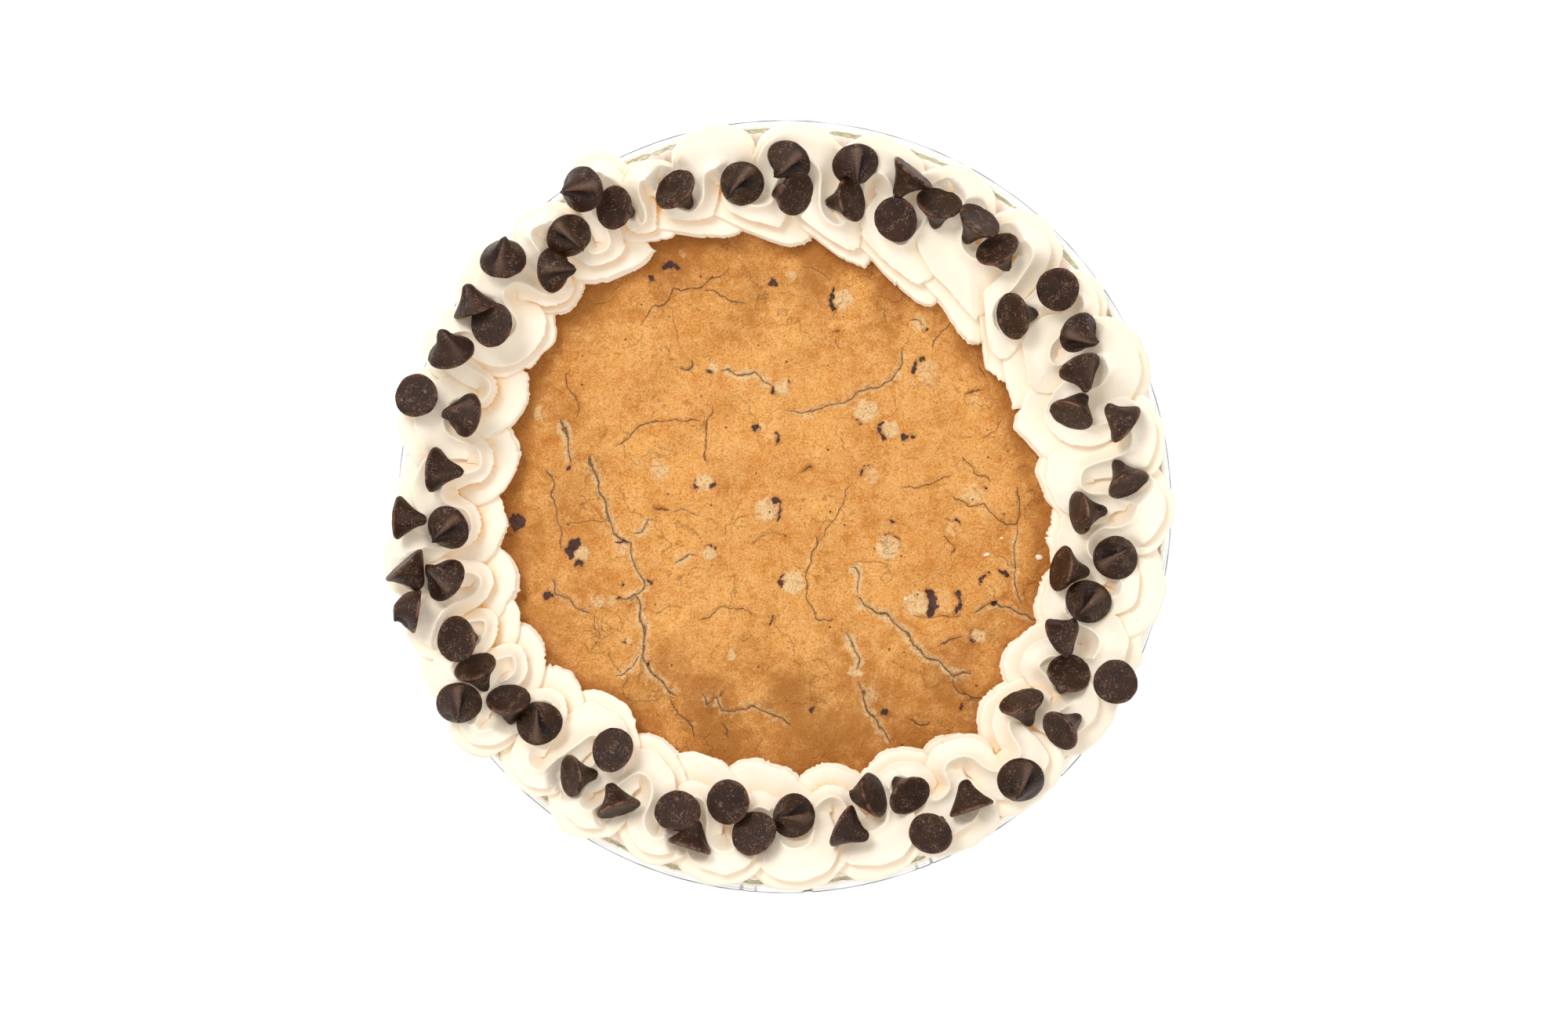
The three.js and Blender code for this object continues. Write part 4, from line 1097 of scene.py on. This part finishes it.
def make_icing(material):
    """Two tubes carried along one crest line: the top sheet with the crest and the upper
    petals, and the lower petals with the foot under it. Each side's points stand off to
    the left or right of the way. Heights stand on the foot, fall clockwise so that each
    loop dips under the next, the other way at the right of the cake, give way under the
    chips and never go under the cookie, wall or rim."""
    bearing, radius, sides = rope_path(56)
    line = on_circle(bearing, radius)
    line = line + 0.3 * shake(line, 9, 41)
    way = np.roll(line, -1, 0) - np.roll(line, 1, 0)
    way /= np.linalg.norm(way, axis=1, keepdims=True)
    left = np.stack([-way[:, 1], way[:, 0]], -1)
    clockwise = on_circle(bearing + 90, 1.0)
    turn_back = band(bearing % 360, 70, 76, 104, 118)
    lean = -LEAN * (1 - 2 * turn_back)
    tops, lowers = [], []
    for side, (sign, (upper, lower, nearness)) in enumerate(zip((1, -1), sides)):
        loose = smoothstep(nearness, 0.5, 0.8) * (0.07, 0.42)[side]
        lower = frayed(line, left, sign, lower - 0.3, 1.3 * loose, 44 + 4 * side)
        upper = np.minimum(frayed(line, left, sign, upper, loose, 52 + 4 * side), lower - 0.4)
        bottom = lower + 0.35 + 0.7 * smoothstep(nearness, 0.4, 0.8) * waves(line, 10, 60 + side)
        near = smoothstep(nearness, 0.5, 0.9)
        level = RIM_LEVEL[side] - 0.14 * np.clip(upper - 5, 0, 5) * side
        dish = 0.5 * near * smoothstep(upper, 4, 7)
        away, height = top_sheet(upper, level, dish)
        tops.append((sign * away, height))
        away, height = lower_sheet(upper, lower, bottom, LOWER_LEVEL[side] + 0 * upper)
        lowers.append((sign * away, height))
    under_crest = 8.5
    pieces = []
    for name, (outer, inner) in (("icing_crest_and_petals", tops), ("icing_lower_petals", lowers)):
        on_top = name == "icing_crest_and_petals"
        away = np.concatenate([outer[0][::-1], inner[0][int(on_top):]])
        level = np.concatenate([outer[1][::-1], inner[1][int(on_top):]])
        if on_top:
            middle = 0 * radius[None]
            away = np.concatenate([away, middle])
            level = np.concatenate([level, middle + under_crest])
        offset = away[..., None] * left
        flat = line + offset
        reach = np.linalg.norm(flat, axis=-1)
        tilt = lean * (offset * clockwise).sum(-1) + 0.4 * waves(line, 14, 50)
        height = foot_height(reach) + level + tilt * np.clip(level / 10, 0, 1)
        surface = np.concatenate([swept(flat), height[..., None]], -1)
        surface[..., 2] += 0.07 * waves(surface, 2.6, 51)
        pieces.append((name, surface))
    everything = np.concatenate([surface.reshape(-1, 3) for _, surface in pieces])
    # Painted warm shade in the folds and a painted highlight on the crests, from how deep each
    # point lies below the icing's top or stands above it.
    icing_crease_shade, crest_highlight = depth_below(everything)
    start = 0
    for name, surface in pieces:
        count = surface.shape[0] * surface.shape[1]
        points = everything[start:start + count].copy()
        points[:, 2] = np.minimum(points[:, 2], room_under_chips(points))
        points[:, 2] = np.maximum(points[:, 2], rest_height(np.linalg.norm(points[:, :2], axis=1)))
        points = np.clip(points, BOX_LOW, BOX_TOP)
        values = {"icing_crease_shade": icing_crease_shade[start:start + count], "crest_highlight": crest_highlight[start:start + count]}
        start += count
        faces = grid_faces(*surface.shape[:2], wrap_rows=True, wrap_columns=True)
        if name == "icing_lower_petals":
            core = icing_core()
            points, faces = joined([(points, faces), core])
            # The hidden core takes a middling painted crease shade and no painted highlight.
            tone = {"icing_crease_shade": 0.35, "crest_highlight": 0.0}
            values = {
                key: np.append(values[key], np.full(len(core[0]), tone[key])) for key in values
            }
        make_piece(name, points, faces, material, ["icing_border"], values)


def depth_below(points):
    """How deep each point lies below the mean top of the icing within two millimetres,
    and how far it stands above it, each from 0 to 1. The top is kept as the highest
    point in each square of a fine grid, or the foot's height where there is no icing,
    and its mean is taken by running sums."""
    cell, half, reach = 0.5, 122.0, 4
    size = int(2 * half / cell)
    column = np.clip(((points[:, :2] + half) / cell).astype(int), 0, size - 1)
    flat_index = column[:, 0] * size + column[:, 1]
    top = np.full(size * size, -1.0)
    np.maximum.at(top, flat_index, points[:, 2])
    top = top.reshape(size, size)
    filled = top > 0
    middle = (np.arange(size) + 0.5) * cell - half
    ground = foot_height(np.hypot(middle[:, None], middle[None, :]))
    layers = np.stack([np.where(filled, top, ground), np.ones_like(top)])
    for axis in (1, 2):
        for _ in range(2):
            total = np.cumsum(layers, axis)
            layers = np.roll(total, -reach, axis) - np.roll(total, reach + 1, axis)
            edge = [slice(None)] * 3
            edge[axis] = np.r_[0:reach + 1, size - reach:size]
            layers[tuple(edge)] = 0
    mean = (layers[0] / np.maximum(layers[1], 1e-6)).ravel()[flat_index]
    return smoothstep(mean - points[:, 2], 0.35, 2.0), smoothstep(points[:, 2] - mean, 0.3, 1.8)


def room_under_chips(points):
    """Height that the icing may reach at each point: just over the lowest chip skin
    straight above or below it, rising steeply with the distance from it."""
    room = np.full(len(points), np.inf)
    for skin in CHIP_SKINS:
        middle = skin[:, :2].mean(0)
        near = np.flatnonzero(np.linalg.norm(points[:, :2] - middle, axis=1) < 11)
        gap = np.linalg.norm(points[near, None, :2] - skin[None, :, :2], axis=-1)
        height = skin[None, :, 2] + 0.4 + 2.2 * np.maximum(gap - 0.5, 0)
        room[near] = np.minimum(room[near], height.min(1))
    return room


def icing_core():
    """The body of icing that the strokes lie on: a low rounded ring under the crest."""
    bearing = np.linspace(0, 360, 240, endpoint=False)
    outline = np.array([(89, 0), (88.7, 3), (90, 6), (93, 7), (97, 6.5), (99, 3), (99.5, 0.5)])
    radius = outline[:, :1] + np.zeros(len(bearing))
    flat = on_circle(bearing, radius)
    height = np.maximum(foot_height(radius) + outline[:, 1:], rest_height(radius))
    ring = np.concatenate([flat, height[..., None]], -1).reshape(-1, 3)
    return ring, grid_faces(len(outline), len(bearing), wrap_rows=True, wrap_columns=True)


# ------------------------------------------------------------------------------ chips


def turn_to(axis):
    """The smallest turn that carries +Z to the axis, as a matrix."""
    x, y, z = axis
    across = np.array([[0, 0, x], [0, 0, y], [-x, -y, 0]])
    return np.eye(3) + across + across @ across / (1 + z)


def base_of(corners, axis):
    """Middle of the base of the solid chip with this axis among a node's corners. Each
    corner less each corner of the plain chip is a guess; the one that most agree on
    is it."""
    angle = np.linspace(0, TAU, CHIP_SIDES, endpoint=False)
    rings = [
        np.stack([r * CHIP_RADIUS * np.sin(angle), -r * CHIP_RADIUS * np.cos(angle),
                  np.full(CHIP_SIDES, h * CHIP_HEIGHT)], -1)
        for r, h in CHIP_RINGS
    ]
    plain = np.concatenate([*rings, [(0, 0, 0), (0, 0, CHIP_HEIGHT)]]) @ turn_to(axis).T
    guesses = (corners[:, None] - plain[None]).reshape(-1, 3)
    votes = (np.linalg.norm(guesses[:, None] - guesses[None], axis=-1) < 0.05).sum(1)
    return guesses[votes.argmax()]


def chip_places():
    """Base middle and axis of every chip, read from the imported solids."""
    second_of = {second: first for first, second in PAIRS.items()}
    places = []
    for number, (azimuth, elevation, _, _) in enumerate(CHIPS, 1):
        first = second_of.get(number, number)
        name = f"chips_{first:02d}_{PAIRS[first]:02d}" if first in PAIRS else f"chip_{first:02d}"
        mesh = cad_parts[name].data
        corners = np.empty(3 * len(mesh.vertices), np.float32)
        mesh.vertices.foreach_get("co", corners)
        corners = np.unique(np.round(corners.reshape(-1, 3) / MM, 3), axis=0)
        axis = direction(azimuth, elevation)
        places.append((base_of(corners, axis), axis))
    return places


# Radius and height of a chip's skin as shares, from the middle of the base to the nib.
CHIP_SKIN = np.array([
    (0, 0.0), (0.45, -0.008), (0.8, -0.004), (0.93, 0.002), (0.975, 0.015), (1.0, 0.045),
    (0.995, 0.08), (0.965, 0.12), (0.9, 0.175), (0.81, 0.24), (0.7, 0.32), (0.59, 0.41),
    (0.5, 0.5), (0.425, 0.59), (0.365, 0.68), (0.32, 0.76), (0.28, 0.84), (0.235, 0.9),
    (0.17, 0.955), (0.085, 0.99), (0, 1.0),
])
CHIP_COLUMNS = 36


def chip_skin(number, curl):
    """One chip on its base at the origin, its nib bent towards +X, and how much painted
    shade each point takes in its groove and painted highlight on its ridge. Upwards of two
    fifths of its height the skin moves to +X by the curl, sinks again and flattens across.
    A ridge and a groove beside it run down from the bent nib, strong on its back and weak
    on its front."""
    rng = np.random.default_rng(500 + number)
    size = rng.uniform(0.97, 1.02)
    angle = np.linspace(0, TAU, CHIP_COLUMNS, endpoint=False)[None, :]
    share, lift = CHIP_SKIN[:, :1], CHIP_SKIN[:, 1:]
    two, three = rng.uniform(-0.035, 0.035, 2), rng.uniform(-0.02, 0.02, 2)
    oval = 1 + two[0] * np.cos(2 * angle) + two[1] * np.sin(2 * angle)
    oval = oval + three[0] * np.cos(3 * angle) + three[1] * np.sin(3 * angle)
    high = smoothstep(lift, 0.1, 0.5)
    hand = rng.choice([-1, 1])
    ridge = 0
    for middle, strength in ((0, 0.6), (np.pi, 1.0)):
        off = (angle - middle + np.pi) % TAU - np.pi
        ridge = ridge + strength * (bell(off, 0.3) - 1.2 * bell(off - 0.65 * hand, 0.28))
    radius = CHIP_RADIUS * size * share * oval * (1 + 0.55 * curl * high * ridge)
    x, y = radius * np.cos(angle), radius * np.sin(angle)
    up = np.clip((lift - 0.4) / 0.6, 0, 1)
    x = x + curl * 3.4 * up**1.5
    y = y * (1 - 0.3 * curl * up)
    z = CHIP_HEIGHT * size * lift - curl * (2.4 * up**2 + 0.35 * up * x)
    skin = np.stack([x, y, z + 0 * x], -1)
    skin += 0.07 * waves(skin + 40 * number, 2.5, 600 + number)[..., None]
    # Painted shade in the groove and painted highlight on the ridge, from the same marks.
    marked = min(1.0, 1.3 * curl) * smoothstep(lift, 0.12, 0.3) * ridge
    return skin, np.clip(-marked, 0, 1).ravel(), np.clip(marked * (1 - 0.5 * lift), 0, 1).ravel()


def placed_chips():
    """The skin of every chip, turned so that its axis and the way of its bend match its
    row, set on its base and held inside the box of the solids."""
    skins, creases, ridge_highlights = [], [], []
    for number, ((base, axis), row) in enumerate(zip(chip_places(), CHIPS), 1):
        if number in TURNED_CHIPS:
            row = TURNED_CHIPS[number]
            axis, base = direction(row[0], row[1]), base + row[4]
        bend = direction(row[2], 0)
        bend = bend - (bend @ axis) * axis
        if np.linalg.norm(bend) < 0.2:
            bend = np.array([0, 0, 1.0]) - axis[2] * axis
        bend /= np.linalg.norm(bend)
        frame_of_chip = np.stack([bend, np.cross(axis, bend), axis])
        skin, crease, ridge = chip_skin(number, row[3])
        skin = (skin @ frame_of_chip + base).reshape(-1, 3)
        creases.append(crease)
        ridge_highlights.append(ridge)
        past_top, past_low = (skin - BOX_TOP).max(0), (BOX_LOW - skin).max(0)
        skins.append(skin - np.maximum(past_top, 0) + np.maximum(past_low, 0))
    return skins, np.concatenate(creases), np.concatenate(ridge_highlights)


CHIP_SKINS, CHIP_CREASE_SHADES, CHIP_RIDGE_HIGHLIGHTS = placed_chips()


def make_chips(material):
    """All chips in one mesh, with a line kept round the rim of each base."""
    faces = grid_faces(len(CHIP_SKIN), CHIP_COLUMNS, wrap_columns=True)
    edge = bell(CHIP_SKIN[:, 1] - 0.045, 0.035) * (CHIP_SKIN[:, 0] > 0.9)
    rims = [np.repeat(edge, CHIP_COLUMNS)] * len(CHIP_SKINS)
    points, faces = joined([(skin, faces) for skin in CHIP_SKINS])
    nodes = [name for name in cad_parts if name.startswith("chip")]
    # Painted shade in each chip's crease and painted highlight on its ridge.
    values = {"rim": np.concatenate(rims), "crease": CHIP_CREASE_SHADES, "ridge": CHIP_RIDGE_HIGHLIGHTS}
    return make_piece("chocolate_chips", points, faces, material, nodes, values)


# -------------------------------------------------------------------- floor and light


def make_floor():
    """A plain pale floor that the pan stands on."""
    half = 3.0
    mesh = bpy.data.meshes.new("floor")
    corners = [(-half, -half, 0), (half, -half, 0), (half, half, 0), (-half, half, 0)]
    mesh.from_pydata(corners, [], [(0, 1, 2, 3)])
    material, nodes, shader = new_material("pale_floor")
    feed(
        nodes, shader,
        Base_Color=colour(248, 248, 248), Roughness=0.9,
        Emission_Color=colour(255, 255, 255), Emission_Strength=0.35,
    )
    mesh.materials.append(material)
    floor = bpy.data.objects.new("floor", mesh)
    bpy.context.scene.collection.objects.link(floor)


def add_light(name, place, size, power):
    """A square soft light that faces the cake."""
    data = bpy.data.lights.new(name, "AREA")
    data.size = size
    data.energy = power
    lamp = bpy.data.objects.new(name, data)
    lamp.location = place
    lamp.rotation_mode = "QUATERNION"
    lamp.rotation_quaternion = lamp.location.to_track_quat("Z", "Y")
    bpy.context.scene.collection.objects.link(lamp)


# Strength of the white sky, and of each lamp its name, place and size in metres and power.
SKY_STRENGTH = 0.86
LAMPS = (("key", (-0.5, 0.65, 1.25), 0.5, 10.0), ("fill", (0.9, -0.5, 1.2), 1.2, 2.0))


def light_scene():
    """A white sky, a soft lamp from the upper left and a weak one opposite."""
    scene = bpy.context.scene
    world = bpy.data.worlds.new("white_sky")
    world.use_nodes = True
    sky = world.node_tree.nodes["Background"]
    sky.inputs["Color"].default_value = (1.0, 1.0, 1.0, 1.0)
    sky.inputs["Strength"].default_value = SKY_STRENGTH
    scene.world = world
    for lamp in LAMPS:
        add_light(*lamp)
    scene.view_settings.view_transform = "Standard"


# Where the photograph was taken from, in metres, and the lens, both in a way that puts
# the rim at its place in the picture.
CAMERA_PLACE = (-0.0002, -0.0001, 1.130)
CAMERA_LENS, CAMERA_SENSOR = 88.1, 36.0


def make_camera():
    """Straight above the pan, the picture's top towards +Y."""
    data = bpy.data.cameras.new("camera")
    data.lens = CAMERA_LENS
    data.sensor_width = CAMERA_SENSOR
    camera = bpy.data.objects.new("camera", data)
    camera.location = CAMERA_PLACE
    bpy.context.scene.collection.objects.link(camera)
    bpy.context.scene.camera = camera


make_camera()
make_pan(foil_material())
make_cookie(cookie_material())
icing = icing_material()
make_icing(icing)
make_crumbs(icing)
make_chips(chocolate_material())
make_floor()
light_scene()
